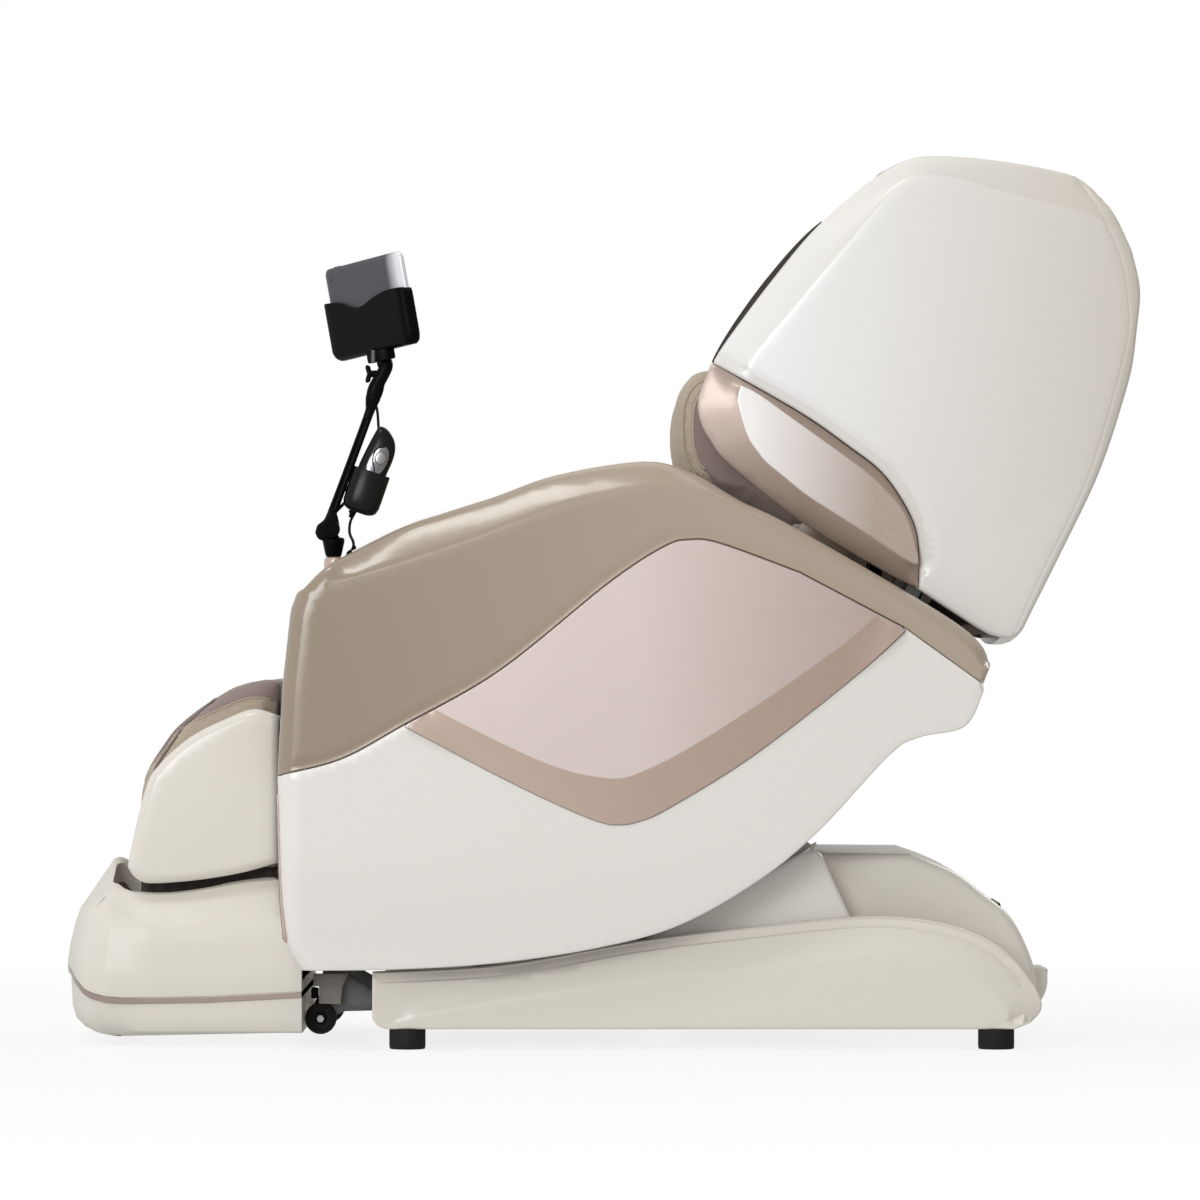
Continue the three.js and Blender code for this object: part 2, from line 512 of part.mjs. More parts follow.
const footShell = cut(
  slab(footOutline, -CALF_HALF, CALF_HALF).intersect(prism(footPlan, 0, 300)),
  prism(wellPlan(1, 0), WELL.floor, 300), prism(wellPlan(-1, 0), WELL.floor, 300),
  ...[-1, 1].map((s) => post([-442, s * 200], 9, 30, 300, 12)),
  sweep(rectangle(9, 9), stripPath, STRIP_STEPS),
);
piece('foot_shell', footShell, WHITE);
piece('foot_strip', sweep(rectangle(7, 7), stripPath, STRIP_STEPS), ROSE_GOLD);
const solePad = (s) => cut(
  prism(wellPlan(s, -GAP), WELL.floor + GAP, 150),
  prism(wellPlan(s, -14), WELL.floor + 16, 200),
);
piece('sole_pad_right', solePad(1), BROWN);
piece('sole_pad_left', solePad(-1), BROWN);

// ---- remote holder on the left armrest ----
const socket = add(
  post(HOLDER_AT, 19, 640, 668, 20),
  post(HOLDER_AT, 13, 668, 678, 12),
  post(HOLDER_AT, 15.5, 678, 702, 8),
  block(HOLDER_AT[0] - 13, HOLDER_AT[0] + 8, HOLDER_Y - 5, HOLDER_Y + 5, 700, 716),
  rod(PIVOT.holder, 8, HOLDER_Y - 5, HOLDER_Y + 5),
  rod(PIVOT.holder, 4, HOLDER_Y - 20, HOLDER_Y + 20, 12),
  block(HOLDER_AT[0], BOOT_AT[0], HOLDER_Y - 5, HOLDER_Y + 5, 641, 650),
  post(BOOT_AT, 5.5, 640, 684, 12),
  post(BOOT_AT, 5.5, 684, 692, 12, 3.5),
);
piece('holder_socket', socket, BLACK);

// the arm: a fork round the elbow, a slim bar that widens to the grip at its top, and the cup bracket
const barLeft = [[-384, 730], [-332, 882], [-330, 896], [-324, 916]];
const barRight = [[-307, 912], [-312, 889], [-319, 877], [-371, 728]];
const forkSide = (y0) => slab([[-384, 712], [-376, 707], [-368, 712], [-366, 736], [-380, 742],
  [-385, 730]], y0, y0 + 5);
const holderArm = cut(
  add(
    forkSide(HOLDER_Y - 11), forkSide(HOLDER_Y + 6),
    slab([[-382, 727], [-368, 725], [-365, 742], [-379, 745]], HOLDER_Y - 11, HOLDER_Y + 11),
    slab([...barLeft, ...barRight], HOLDER_Y - 7, HOLDER_Y + 7),
    slab([[-325, 906], [-309, 901], [-291, 930], [-293, 950], [-299, 956], [-311, 954], [-314, 944],
      [-312, 926]],
      HOLDER_Y - 11, HOLDER_Y + 11),
    slab([[-354, 797], [-350, 793], [-357.5, 768], [-364, 768]], HOLDER_Y - 5, HOLDER_Y + 5),
  ),
  rod(PIVOT.holder, 4 + GAP, HOLDER_Y - 30, HOLDER_Y + 30, 12),
  rod(PIVOT.head, 13, HOLDER_Y - 4.5, HOLDER_Y + 4.5),
).add(rod(PIVOT.head, 3, HOLDER_Y - 10, HOLDER_Y + 10, 12));
piece('holder_arm', holderArm, BLACK);
const WING_KNOB = { z: 930, x0: -326, x1: -318 };
const knobHub = toSolid(new THREE.CylinderGeometry(5, 5, 7, 12).rotateZ(Math.PI / 2).translate(-316.5,
  HOLDER_Y, WING_KNOB.z));
const wings = slab([[WING_KNOB.x0, WING_KNOB.z - 12], [WING_KNOB.x1, WING_KNOB.z - 10],
  [WING_KNOB.x1, WING_KNOB.z + 10],
  [WING_KNOB.x0, WING_KNOB.z + 12], [WING_KNOB.x0 - 1, WING_KNOB.z + 4], [WING_KNOB.x0 - 1, WING_KNOB.z - 4]],
HOLDER_Y - 3, HOLDER_Y + 3);
piece('wing_knob', add(knobHub, wings), BLACK);
const knob = cut(
  rod(PIVOT.holder, 12.5, HOLDER_Y - 24, HOLDER_Y - 11 - GAP, 12),
  rod(PIVOT.holder, 4 + GAP, HOLDER_Y - 20.5, HOLDER_Y, 12),
);
piece('elbow_knob', knob, BLACK);

// the tablet's lead, from the grip down behind the cup to the boot on the armrest
const leadRoute = [[-315, -312, 889], [-313, -305, 878], [-312, -301, 864], [-312, -300.5, 846],
  [-318, -301, 815], [-331, -301, 775], [-342, -302, 744], [-350, -309, 727], [-351, -318, 714],
  [-346, -322, 704]];
piece('tablet_lead', sweep(ring(2, 8), leadRoute, 36), RUBBER);

// handset and the cup that holds it, drawn upright and leaned with the arm
const HANDSET = { width: 44, thick: 26, length: 118, lean: 19 };
const CUP_HEIGHT = 55;
const remote = new THREE.Group();
remote.position.set(-337.6, HOLDER_Y, 743.3);
remote.rotation.y = HANDSET.lean * RAD;
chair.add(remote);
const oval = (grow, steps = 20) => Array.from({ length: steps }, (_, i) => [
  (HANDSET.width / 2 + grow) * Math.cos((2 * Math.PI * i) / steps),
  (HANDSET.thick / 2 + grow) * Math.sin((2 * Math.PI * i) / steps)]);
const capsule = (grow, z0, z1, low, high) => {
  const h = HANDSET.width / 2 + grow;
  return [[-h + low, z0], [h - low, z0], [h, z0 + low], [h, z1 - high], [h - high, z1], [-h + high, z1],
    [-h, z1 - high], [-h, z0 + low]];
};
const handset = prism(oval(0), 0, 130).intersect(slab(capsule(0, 2, HANDSET.length, 14, 16), -20, 20));
const buttonHole = rod([4, 76], 8.5 + GAP, -30, -6, 16);
piece('handset', cut(handset, buttonHole), BLACK, remote);
piece('handset_button', rod([4, 76], 8.5, -14.5, -8 - GAP, 16), SILVER, remote);
const cup = cut(
  prism(oval(4), -5, 70).intersect(slab(capsule(4, -5, CUP_HEIGHT, 14, 1), -22, 22)),
  prism(oval(0.8), 0, 130),
);
piece('handset_cup', cup, BLACK, remote);

// tablet head: neck, cradle and tablet, turned towards the sitter
const TABLET = { width: 188, height: 121, thick: 9, yaw: -54, tilt: 8, roll: -6 };
const headGroup = new THREE.Group();
headGroup.rotation.order = 'ZXY';
headGroup.rotation.set(TABLET.tilt * RAD, TABLET.roll * RAD, TABLET.yaw * RAD);
const NECK = new THREE.Vector3(10, -3, -53); // the head pivot, seen from the tablet
headGroup.position.set(PIVOT.head[0], HOLDER_Y,
  PIVOT.head[1]).sub(NECK.clone().applyEuler(headGroup.rotation));
headGroup.updateMatrix();
chair.add(headGroup);
const half = TABLET.width / 2;
const tablet = slab(roundedRectangle(-half, half, -30, TABLET.height - 30, 10), -TABLET.thick / 2,
  TABLET.thick / 2);
piece('tablet', tablet, GREY, headGroup);
const cradleTop = curve([[half + 7, 42], [40, 40], [10, 24], [-30, 18], [-60, 30], [-half - 7, 26]], 14);
const cradleBody = slab([[-half - 7, -26], [-half + 3, -38], [half - 3, -38], [half + 7, -26],
  ...cradleTop], -13, 7);
const grown = slab(roundedRectangle(-half - 0.6, half + 0.6, -30.6, 120, 10), -TABLET.thick / 2 - 0.6,
  TABLET.thick / 2 + 0.6);
const cradle = cut(cradleBody, grown, slab(roundedRectangle(-half + 8, half - 8, -22, 120, 6), 0, 20));
const neck = cut(
  add(
    rod(PIVOT.head, 8, HOLDER_Y - 4, HOLDER_Y + 4),
    slab([[-311, 946], [-299, 946], [-303, 975], [-319, 975]], HOLDER_Y - 4, HOLDER_Y + 4),
  ),
  rod(PIVOT.head, 3 + GAP, HOLDER_Y - 10, HOLDER_Y + 10, 12),
);
piece('tablet_cradle', cut(add(cradle.transform(headGroup.matrix.elements), neck),
  grown.transform(headGroup.matrix.elements)), BLACK);

export default chair;
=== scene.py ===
"""Massage chair: the visual model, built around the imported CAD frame.

Outlines are in millimetres from the chair's own zero, as the design's are, and become metres in the last step.
A panel is drawn flat as an outline, filled with a fine mesh, and shaped by functions that say how far each
point stands out. The chair faces -X, and its right side is +Y.
"""
import json
import math

import bmesh
import bpy
import numpy as np
from mathutils import Matrix, Vector
from mathutils.bvhtree import BVHTree
from mathutils.geometry import delaunay_2d_cdt


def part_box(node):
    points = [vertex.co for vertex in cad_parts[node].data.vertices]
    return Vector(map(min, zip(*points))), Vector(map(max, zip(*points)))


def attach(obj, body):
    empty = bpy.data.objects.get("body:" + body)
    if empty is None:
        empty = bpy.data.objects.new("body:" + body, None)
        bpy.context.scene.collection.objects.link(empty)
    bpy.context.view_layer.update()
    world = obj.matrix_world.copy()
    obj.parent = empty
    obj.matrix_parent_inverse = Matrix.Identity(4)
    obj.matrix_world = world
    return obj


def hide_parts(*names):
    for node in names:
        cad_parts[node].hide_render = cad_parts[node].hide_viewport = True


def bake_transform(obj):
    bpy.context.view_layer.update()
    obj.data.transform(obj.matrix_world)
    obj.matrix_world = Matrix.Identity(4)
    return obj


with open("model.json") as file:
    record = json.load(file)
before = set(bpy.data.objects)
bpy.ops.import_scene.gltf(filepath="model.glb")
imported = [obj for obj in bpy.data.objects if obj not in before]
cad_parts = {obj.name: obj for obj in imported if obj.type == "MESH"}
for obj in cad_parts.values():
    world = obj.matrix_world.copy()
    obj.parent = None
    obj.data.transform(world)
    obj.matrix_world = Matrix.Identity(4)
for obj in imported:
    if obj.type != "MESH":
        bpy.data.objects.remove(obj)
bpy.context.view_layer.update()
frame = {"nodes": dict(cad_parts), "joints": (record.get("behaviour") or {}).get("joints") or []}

# ---- driving sizes ----
MM = 0.001
GAP = 0.4
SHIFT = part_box("base_rail_left")[0].x / MM + 319  # the chair's own zero in the frame
JOINTS = {joint["name"]: joint for joint in frame["joints"]}
RECLINE = (JOINTS["back_recline"]["pos_m"][0] / MM - SHIFT, JOINTS["back_recline"]["pos_m"][2] / MM)
LEAN = math.radians(26.6)
ARM_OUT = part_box("side_panel_right")[1].y / MM
ROSE_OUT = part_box("rose_panel_right")[1].y / MM
HOOD_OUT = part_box("hood_side_right")[1].y / MM
HOOD_IN = HOOD_OUT - 40
WING_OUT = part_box("wing_trim_right")[1].y / MM
CALF_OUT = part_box("calf_shell_right")[1].y / MM
RAIL_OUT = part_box("base_rail_right")[1].y / MM
RAIL_INNER = 305
HOLDER_Y = -322
SIDES = (("right", 1), ("left", -1))
PAIR = ("right", "left")
ONE = ("one",)


# ---- camera, light and floor ----
def added(name, data):
    """A new object in the scene."""
    thing = bpy.data.objects.new(name, data)
    bpy.context.scene.collection.objects.link(thing)
    return thing


def make_camera():
    data = bpy.data.cameras.new("camera")
    data.lens, data.sensor_width, data.shift_y = 232.4, 36, 0.045
    camera = added("camera", data)
    camera.location = (0.0065, -11.0, 0.544)
    camera.rotation_euler = (math.radians(90), 0, 0)
    bpy.context.scene.camera = camera


def make_light(name, place, size, watts):
    data = bpy.data.lights.new(name, "AREA")
    data.shape, data.size, data.size_y, data.energy = "RECTANGLE", size[0], size[1], watts
    lamp = added(name, data)
    lamp.location = place
    lamp.rotation_euler = (Vector((0, 0, 0.6)) - Vector(place)).to_track_quat("-Z", "Y").to_euler()


def make_world():
    """Even light, brighter above and on the left and warmer on the right, with a plain white background."""
    world = bpy.data.worlds.new("studio")
    bpy.context.scene.world = world
    world.use_nodes = True
    tree = world.node_tree
    background = tree.nodes["Background"]
    direction = tree.nodes.new("ShaderNodeTexCoord")
    split = tree.nodes.new("ShaderNodeSeparateXYZ")
    tree.links.new(direction.outputs["Generated"], split.inputs[0])

    def ranged(value, low, high):
        node = tree.nodes.new("ShaderNodeMapRange")
        node.inputs["From Min"].default_value = -0.9
        node.inputs["From Max"].default_value = 0.9
        node.inputs["To Min"].default_value = low
        node.inputs["To Max"].default_value = high
        tree.links.new(value, node.inputs["Value"])
        return node.outputs["Result"]

    def mixed(kind, factor, first, second):
        node = tree.nodes.new("ShaderNodeMix")
        node.data_type = kind
        tree.links.new(factor, node.inputs["Factor"])
        for socket, value in ((node.inputs["A"], first), (node.inputs["B"], second)):
            if isinstance(value, bpy.types.NodeSocket):
                tree.links.new(value, socket)
            else:
                socket.default_value = value
        return node.outputs["Result"]

    strength = tree.nodes.new("ShaderNodeMath")
    strength.operation = "MULTIPLY"
    tree.links.new(ranged(split.outputs["Z"], 0.50, 0.66), strength.inputs[0])
    tree.links.new(ranged(split.outputs["X"], 1.32, 0.70), strength.inputs[1])
    rays = tree.nodes.new("ShaderNodeLightPath").outputs["Is Camera Ray"]
    tree.links.new(mixed("FLOAT", rays, strength.outputs[0], 1.0), background.inputs["Strength"])
    side = mixed("RGBA", ranged(split.outputs["X"], 0, 1), (1.0, 1.0, 1.0, 1), (1.0, 0.955, 0.89, 1))
    tree.links.new(mixed("RGBA", rays, side, (1.0, 1.0, 1.0, 1)), background.inputs["Color"])


def make_floor():
    """A pale round floor that fades into the background at its edge."""
    mesh = bpy.data.meshes.new("floor")
    ring = [(9 * math.cos(a / 24 * math.pi), 9 * math.sin(a / 24 * math.pi), 0) for a in range(48)]
    mesh.from_pydata(ring, [], [list(range(48))])
    floor = added("floor", mesh)
    look = bpy.data.materials.new("floor")
    look.use_nodes = True
    tree = look.node_tree
    paint = tree.nodes["Principled BSDF"]
    paint.inputs["Base Color"].default_value = (0.93, 0.925, 0.915, 1)
    paint.inputs["Roughness"].default_value = 0.6
    clear = tree.nodes.new("ShaderNodeBsdfTransparent")
    mix = tree.nodes.new("ShaderNodeMixShader")
    place = tree.nodes.new("ShaderNodeTexCoord")
    length = tree.nodes.new("ShaderNodeVectorMath")
    length.operation = "LENGTH"
    tree.links.new(place.outputs["Object"], length.inputs[0])
    fade = tree.nodes.new("ShaderNodeMapRange")
    fade.interpolation_type = "SMOOTHSTEP"
    fade.inputs["From Min"].default_value = 0.9
    fade.inputs["From Max"].default_value = 3.2
    fade.inputs["To Min"].default_value = 0.82
    tree.links.new(length.outputs["Value"], fade.inputs["Value"])
    tree.links.new(fade.outputs["Result"], mix.inputs[0])
    tree.links.new(paint.outputs[0], mix.inputs[1])
    tree.links.new(clear.outputs[0], mix.inputs[2])
    tree.links.new(mix.outputs[0], tree.nodes["Material Output"].inputs["Surface"])
    mesh.materials.append(look)


make_camera()
make_world()
make_light("key", (-2.4, -6.6, 1.9), (2.6, 2.2), 122)
make_light("top", (0.3, 0.8, 4.2), (3.2, 2.2), 14)
make_light("sheen", (-1.2, -2.2, 3.9), (1.2, 0.7), 24)
make_light("back", (2.8, 4.2, 3.1), (2.6, 2.2), 42)
make_floor()
bpy.context.scene.view_settings.view_transform = "Standard"


# ---- materials ----
class Look:
    """A Principled material whose colour, roughness and bump are built up from procedural layers."""

    def __init__(self, name, colour, roughness, **constants):
        self.material = bpy.data.materials.new(name)
        self.material.use_nodes = True
        self.tree = self.material.node_tree
        self.shader = self.tree.nodes["Principled BSDF"]
        self.coords = self.add("ShaderNodeTexCoord").outputs["Object"]
        self.colour = colour
        self.shader.inputs["Base Color"].default_value = (*colour, 1)
        self.shader.inputs["Roughness"].default_value = roughness
        self.roughness = roughness
        for socket, value in constants.items():
            self.shader.inputs[socket.replace("_", " ")].default_value = value

    def add(self, kind, **values):
        node = self.tree.nodes.new(kind)
        for name, value in values.items():
            setattr(node, name, value)
        return node

    def link(self, out, into):
        self.tree.links.new(out, into)

    def noise(self, scale, detail=2.0, stretch=None):
        node = self.add("ShaderNodeTexNoise")
        node.inputs["Scale"].default_value = scale
        node.inputs["Detail"].default_value = detail
        self.link(self.stretched(stretch), node.inputs["Vector"])
        return node.outputs["Fac"]

    def cells(self, scale, feature="F1", stretch=None):
        node = self.add("ShaderNodeTexVoronoi", feature=feature)
        node.inputs["Scale"].default_value = scale
        self.link(self.stretched(stretch), node.inputs["Vector"])
        return node.outputs["Distance"]

    def stretched(self, stretch):
        if stretch is None:
            return self.coords
        mapping = self.add("ShaderNodeMapping")
        mapping.inputs["Scale"].default_value = stretch
        self.link(self.coords, mapping.inputs["Vector"])
        return mapping.outputs["Vector"]

    def ranged(self, value, low, high, start=0.0, end=1.0):
        node = self.add("ShaderNodeMapRange")
        node.inputs["From Min"].default_value = start
        node.inputs["From Max"].default_value = end
        node.inputs["To Min"].default_value = low
        node.inputs["To Max"].default_value = high
        self.link(value, node.inputs["Value"])
        return node.outputs["Result"]

    def vary(self, value, other, start=0.35, end=0.65):
        """Mixes the colour so far with another one, as the value goes from start to end."""
        node = self.add("ShaderNodeMix", data_type="RGBA")
        self.link(self.ranged(value, 0, 1, start, end), node.inputs["Factor"])
        base = self.shader.inputs["Base Color"]
        if base.links:
            self.link(base.links[0].from_socket, node.inputs["A"])
        else:
            node.inputs["A"].default_value = (*self.colour, 1)
        node.inputs["B"].default_value = (*other, 1)
        self.link(node.outputs["Result"], base)

    def rough(self, value, spread):
        out = self.ranged(value, self.roughness - spread, self.roughness + spread, 0.1, 0.9)
        self.link(out, self.shader.inputs["Roughness"])

    def bump(self, value, height_mm, strength=1.0):
        node = self.add("ShaderNodeBump")
        node.inputs["Distance"].default_value = height_mm * MM
        node.inputs["Strength"].default_value = strength
        self.link(value, node.inputs["Height"])
        normal = self.shader.inputs["Normal"]
        if normal.links:
            self.link(normal.links[0].from_socket, node.inputs["Normal"])
        self.link(node.outputs["Normal"], normal)

    def axis(self, name):
        node = self.add("ShaderNodeSeparateXYZ")
        self.link(self.coords, node.inputs[0])
        return node.outputs[name]


def tint(colour, by):
    return tuple(min(1.0, c * by) for c in colour)


def painted(name, colour, roughness=0.3, coat=0.35, toward=None):
    """Painted moulded plastic: a faint orange peel, small changes of tone and gloss, painted light and shade
    along x.
    """
    look = Look(name, colour, roughness, Coat_Weight=coat, Coat_Roughness=0.12)
    look.vary(look.noise(700, 1), tint(colour, 1.015), 0, 1)
    # toward paints light and shade: the colour shifts along x to a second colour, as the lamps light one end
    # more than the other.
    if toward:
        look.vary(look.axis("X"), *toward)
    look.rough(look.noise(160, 1), 0.01)
    look.bump(look.noise(520, 1), 0.012)
    return look.material


def moulded(name, colour, roughness=0.5, grain=900, gloss=0.5, depth=0.06):
    """Textured moulded plastic: fine spark-eroded grain and slightly worn, uneven gloss."""
    look = Look(name, colour, roughness, Specular_IOR_Level=gloss)
    look.vary(look.noise(9, 4), tint(colour, 1.25))
    look.rough(look.noise(30, 5), 0.06)
    look.bump(look.cells(grain), depth)
    return look.material


def polished(name, colour, roughness=0.12):
    """Chromed plastic with faint wiping marks."""
    look = Look(name, colour, roughness, Metallic=1.0)
    look.vary(look.noise(8, 2), tint(colour, 0.94))
    look.rough(look.noise(40, 3, (1, 1, 9)), 0.03)
    return look.material


def metallic(name, colour, dark, roughness, metal, start, end):
    """Metallic paint over plastic: fine flakes, and a tone that changes along x from start to end."""
    look = Look(name, colour, roughness, Metallic=metal, Coat_Weight=0.5, Coat_Roughness=0.15)
    # This shift along x is painted reflection and shade on the rose panel, the rose band, the wing trim, its
    # facet and the handset window.
    look.vary(look.axis("X"), dark, start, end)
    look.vary(look.noise(2600, 1), tint(colour, 1.12), 0.5, 0.9)
    look.rough(look.noise(18, 3), 0.03)
    look.bump(look.noise(1800, 1), 0.012)
    return look.material


def leather(name, colour, roughness=0.5, grain=520):
    """Pebbled synthetic leather: cells with softly sunk creases, pores, and a slow change of tone."""
    look = Look(name, colour, roughness, Sheen_Weight=0.12, Sheen_Roughness=0.5, Specular_IOR_Level=0.42)
    pebbles = look.cells(grain)
    creases = look.cells(grain * 0.42, "DISTANCE_TO_EDGE")
    look.vary(look.noise(5, 4), tint(colour, 0.9))
    look.vary(look.noise(160, 3), tint(colour, 1.07))
    look.vary(pebbles, tint(colour, 0.86), 0.35, 0.75)
    look.rough(look.noise(45, 4), 0.06)
    look.bump(pebbles, 0.14, 0.7)
    look.bump(creases, 0.09, 0.6)
    return look.material


def knitted(name, colour, roughness=0.62):
    """Fine spacer fabric: rows of small holes in a slightly fuzzy ground."""
    look = Look(name, colour, roughness, Sheen_Weight=0.25, Sheen_Roughness=0.6)
    holes = look.cells(430, "F1")
    look.vary(look.noise(6, 4), tint(colour, 0.93))
    look.vary(holes, tint(colour, 0.78), 0.12, 0.42)
    look.rough(look.noise(70, 3), 0.05)
    look.bump(holes, 0.22, 0.6)
    look.bump(look.noise(900, 2), 0.05)
    return look.material


def metal(name, colour, roughness=0.38):
    """Powder-coated or brushed steel with faint streaks along its length."""
    look = Look(name, colour, roughness, Metallic=0.85)
    look.vary(look.noise(12, 4), tint(colour, 0.8))
    look.rough(look.noise(140, 3, (1, 12, 12)), 0.08)
    look.bump(look.noise(700, 2), 0.03)
    return look.material


def anodised(name, colour, bright):
    """Dark anodised metal with a painted highlight: it turns bright towards its outer end along y."""
    look = Look(name, colour, 0.3, Metallic=0.35)
    look.vary(look.noise(1500, 1), (0.09, 0.09, 0.1), 0.5, 0.9)
    # bright is a painted highlight: the case turns near-white towards its end furthest out along -y, where its
    # rounded metal edge reflects the light.
    look.vary(look.axis("Y"), bright, -0.362, -0.384)
    look.rough(look.noise(30, 3), 0.04)
    look.bump(look.noise(900, 1), 0.006)
    return look.material


def glassy(name, colour):
    """Black glass with faint smears."""
    look = Look(name, colour, 0.08, Coat_Weight=0.6, Coat_Roughness=0.03)
    look.rough(look.noise(25, 3), 0.02)
    look.bump(look.noise(300, 1), 0.002)
    return look.material


WHITE = painted("white_paint", (0.82, 0.80, 0.768), 0.27)
CREAM = painted("cream_paint", (0.765, 0.735, 0.67), 0.28)
# The hood paint runs from a bluish near-white at the front to a darker cream at the rear: painted light and
# shade, a painted glow where the key lamp falls.
HOOD = painted("hood_paint", (0.95, 0.957, 0.97), 0.25, 0.3, ((0.71, 0.675, 0.615), 0.2, 0.74))
# A darker copy of the hood paint for the hood's bevels and lower band: painted shade, which makes the facets
# read crisper; it too runs darker towards the rear.
HOOD_BEVEL_SHADE = painted("hood_bevel_painted_shade", (0.83, 0.825, 0.815), 0.3, 0.2, ((0.68, 0.64, 0.575), 0.2, 0.74))
SHELL = painted("leg_paint", (0.745, 0.715, 0.65), 0.42, 0.06)
# The taupe paint is darker at the front of the arm and lighter at its rear: painted shade.
TAUPE = painted("taupe_paint", (0.312, 0.252, 0.188), 0.24, 0.5, ((0.45, 0.372, 0.29), -0.42, 0.2))
# The rose paint darkens from the front of the panel to its rear: painted reflection and shade.
ROSE = metallic("rose_paint", (0.745, 0.64, 0.615), (0.50, 0.385, 0.35), 0.3, 0.25, 0.06, 0.38)
# The band's tone darkens towards the rear: painted reflection and shade.
BAND = metallic("rose_band_paint", (0.59, 0.455, 0.39), (0.49, 0.36, 0.30), 0.32, 0.35, -0.2, 0.42)
# The wing trim darkens towards the rear: painted reflection and shade.
WING = metallic("rose_gold_paint", (0.56, 0.45, 0.41), (0.38, 0.29, 0.235), 0.42, 0.45, 0.12, 0.28)
# The facet is painted near-white at its front and brown at its rear: a painted highlight and painted shade over
# its own pale pink.
WING_FACET = metallic("rose_gold_facet_paint", (1.0, 0.985, 0.985), (0.44, 0.335, 0.275), 0.24, 0.06, 0.215,
                      0.385)
MAUVE = knitted("mauve_fabric", (0.330, 0.248, 0.232))
TAN = leather("tan_leather", (0.462, 0.388, 0.305))
BROWN = leather("brown_leather", (0.185, 0.140, 0.120))
BLACK = moulded("black_plastic", (0.003, 0.0027, 0.003), 0.3, 1100, 0.05, 0.012)
LINING = knitted("black_lining", (0.036, 0.026, 0.022), 0.75)
BROWN_TRIM = moulded("brown_trim", (0.15, 0.11, 0.09), 0.45)
GREY = moulded("grey_plastic", (0.32, 0.29, 0.27), 0.42)
# The tablet case's pale outer end is a painted highlight.
CASE = anodised("tablet_case", (0.07, 0.071, 0.083), (0.85, 0.85, 0.9))
SILVER = polished("silver_cap", (0.42, 0.42, 0.43), 0.3)
CHROME = polished("chrome_cap", (0.86, 0.86, 0.88))
# The handset window is painted bright at its front and dark at its rear: a painted reflection.
MIRROR = metallic("handset_mirror", (0.86, 0.86, 0.88), (0.2, 0.2, 0.22), 0.2, 0.9, -0.34, -0.315)
SATIN = moulded("satin_black", (0.004, 0.004, 0.0045), 0.24, 1100, 0.24, 0.008)
BRONZE = metallic("bronze_paint", (0.36, 0.285, 0.25), (0.42, 0.35, 0.32), 0.28, 0.5, -0.74, -0.45)
STEEL = metal("coated_steel", (0.16, 0.165, 0.17))
ZINC = metal("zinc_steel", (0.48, 0.49, 0.5), 0.3)
RUBBER = moulded("rubber", (0.010, 0.0095, 0.010), 0.7, 500, 0.25)
RED = moulded("switch_red", (0.42, 0.03, 0.022), 0.35)
THREAD = leather("tan_thread", (0.60, 0.53, 0.43), 0.7, 1800)
GLASS = glassy("screen_glass", (0.006, 0.007, 0.009))


# ---- flat geometry, in millimetres ----
def smooth(points, step=8.0):
    """A smooth open curve through the points, sampled about every step."""
    p = np.array(points, float)
    out = []
    for i in range(len(p) - 1):
        a, b, c, d = p[max(i - 1, 0)], p[i], p[i + 1], p[min(i + 2, len(p) - 1)]
        count = max(1, math.ceil(np.linalg.norm(c - b) / step))
        for k in range(count):
            t = k / count
            out.append(0.5 * (2 * b + (c - a) * t + (2 * a - 5 * b + 4 * c - d) * t * t
                              + (3 * b - 3 * c + d - a) * t ** 3))
    return np.array([*out, p[-1]])


def lines(points, step=8.0):
    """Straight runs through the points, sampled about every step."""
    p = np.array(points, float)
    out = []
    for b, c in zip(p[:-1], p[1:]):
        count = max(1, math.ceil(np.linalg.norm(c - b) / step))
        out.extend(b + (c - b) * k / count for k in range(count))
    return np.array([*out, p[-1]])


def columns(*values):
    """Points from their coordinates, where a single number goes for every point."""
    return np.stack(np.broadcast_arrays(*values), 1)


def chain(*runs):
    """Runs of points one after the other, as one outline with no point twice."""
    points = np.vstack(runs)
    keep = np.linalg.norm(points - np.roll(points, 1, 0), axis=1) > 0.3
    return points[keep]


def polygon(points, step=8.0):
    """A closed outline with straight sides."""
    return lines([*points, points[0]], step)[:-1]


def bowed(points, first, last):
    """A closed outline that is smooth from one of its points to another, and straight elsewhere."""
    return chain(lines(points[:first + 1]), smooth(points[first:last + 1]),
                 lines([*points[last:], points[0]]))[:-1]


def shut(points, step=8.0, corners=()):
    """A smooth run closed by straight ones, which pass the corners."""
    return chain(smooth(points, step), lines([points[-1], *corners, points[0]], step)[1:-1])


def turned(outline):
    """The outline, counter-clockwise."""
    x, z = outline.T
    area = (x * np.roll(z, -1) - np.roll(x, -1) * z).sum()
    return outline if area > 0 else outline[::-1]


def distance(points, line, closed=True):
    """How far each point is from a line."""
    line = np.asarray(line, float)
    start = line if closed else line[:-1]
    along = (np.roll(line, -1, 0) if closed else line[1:]) - start
    length = (along ** 2).sum(1).clip(1e-9)
    offset = points[:, None, :] - start[None]
    t = np.clip((offset * along[None]).sum(2) / length[None], 0, 1)
    return np.sqrt(((offset - t[..., None] * along[None]) ** 2).sum(2).min(1))


def inside(points, outline):
    """Which of the points lie within an outline."""
    x, z = points.T
    hit = np.zeros(len(points), bool)
    for (x0, z0), (x1, z1) in zip(outline, np.roll(outline, -1, 0)):
        if z0 != z1:
            hit ^= ((z0 > z) != (z1 > z)) & (x < (x1 - x0) * (z - z0) / (z1 - z0) + x0)
    return hit


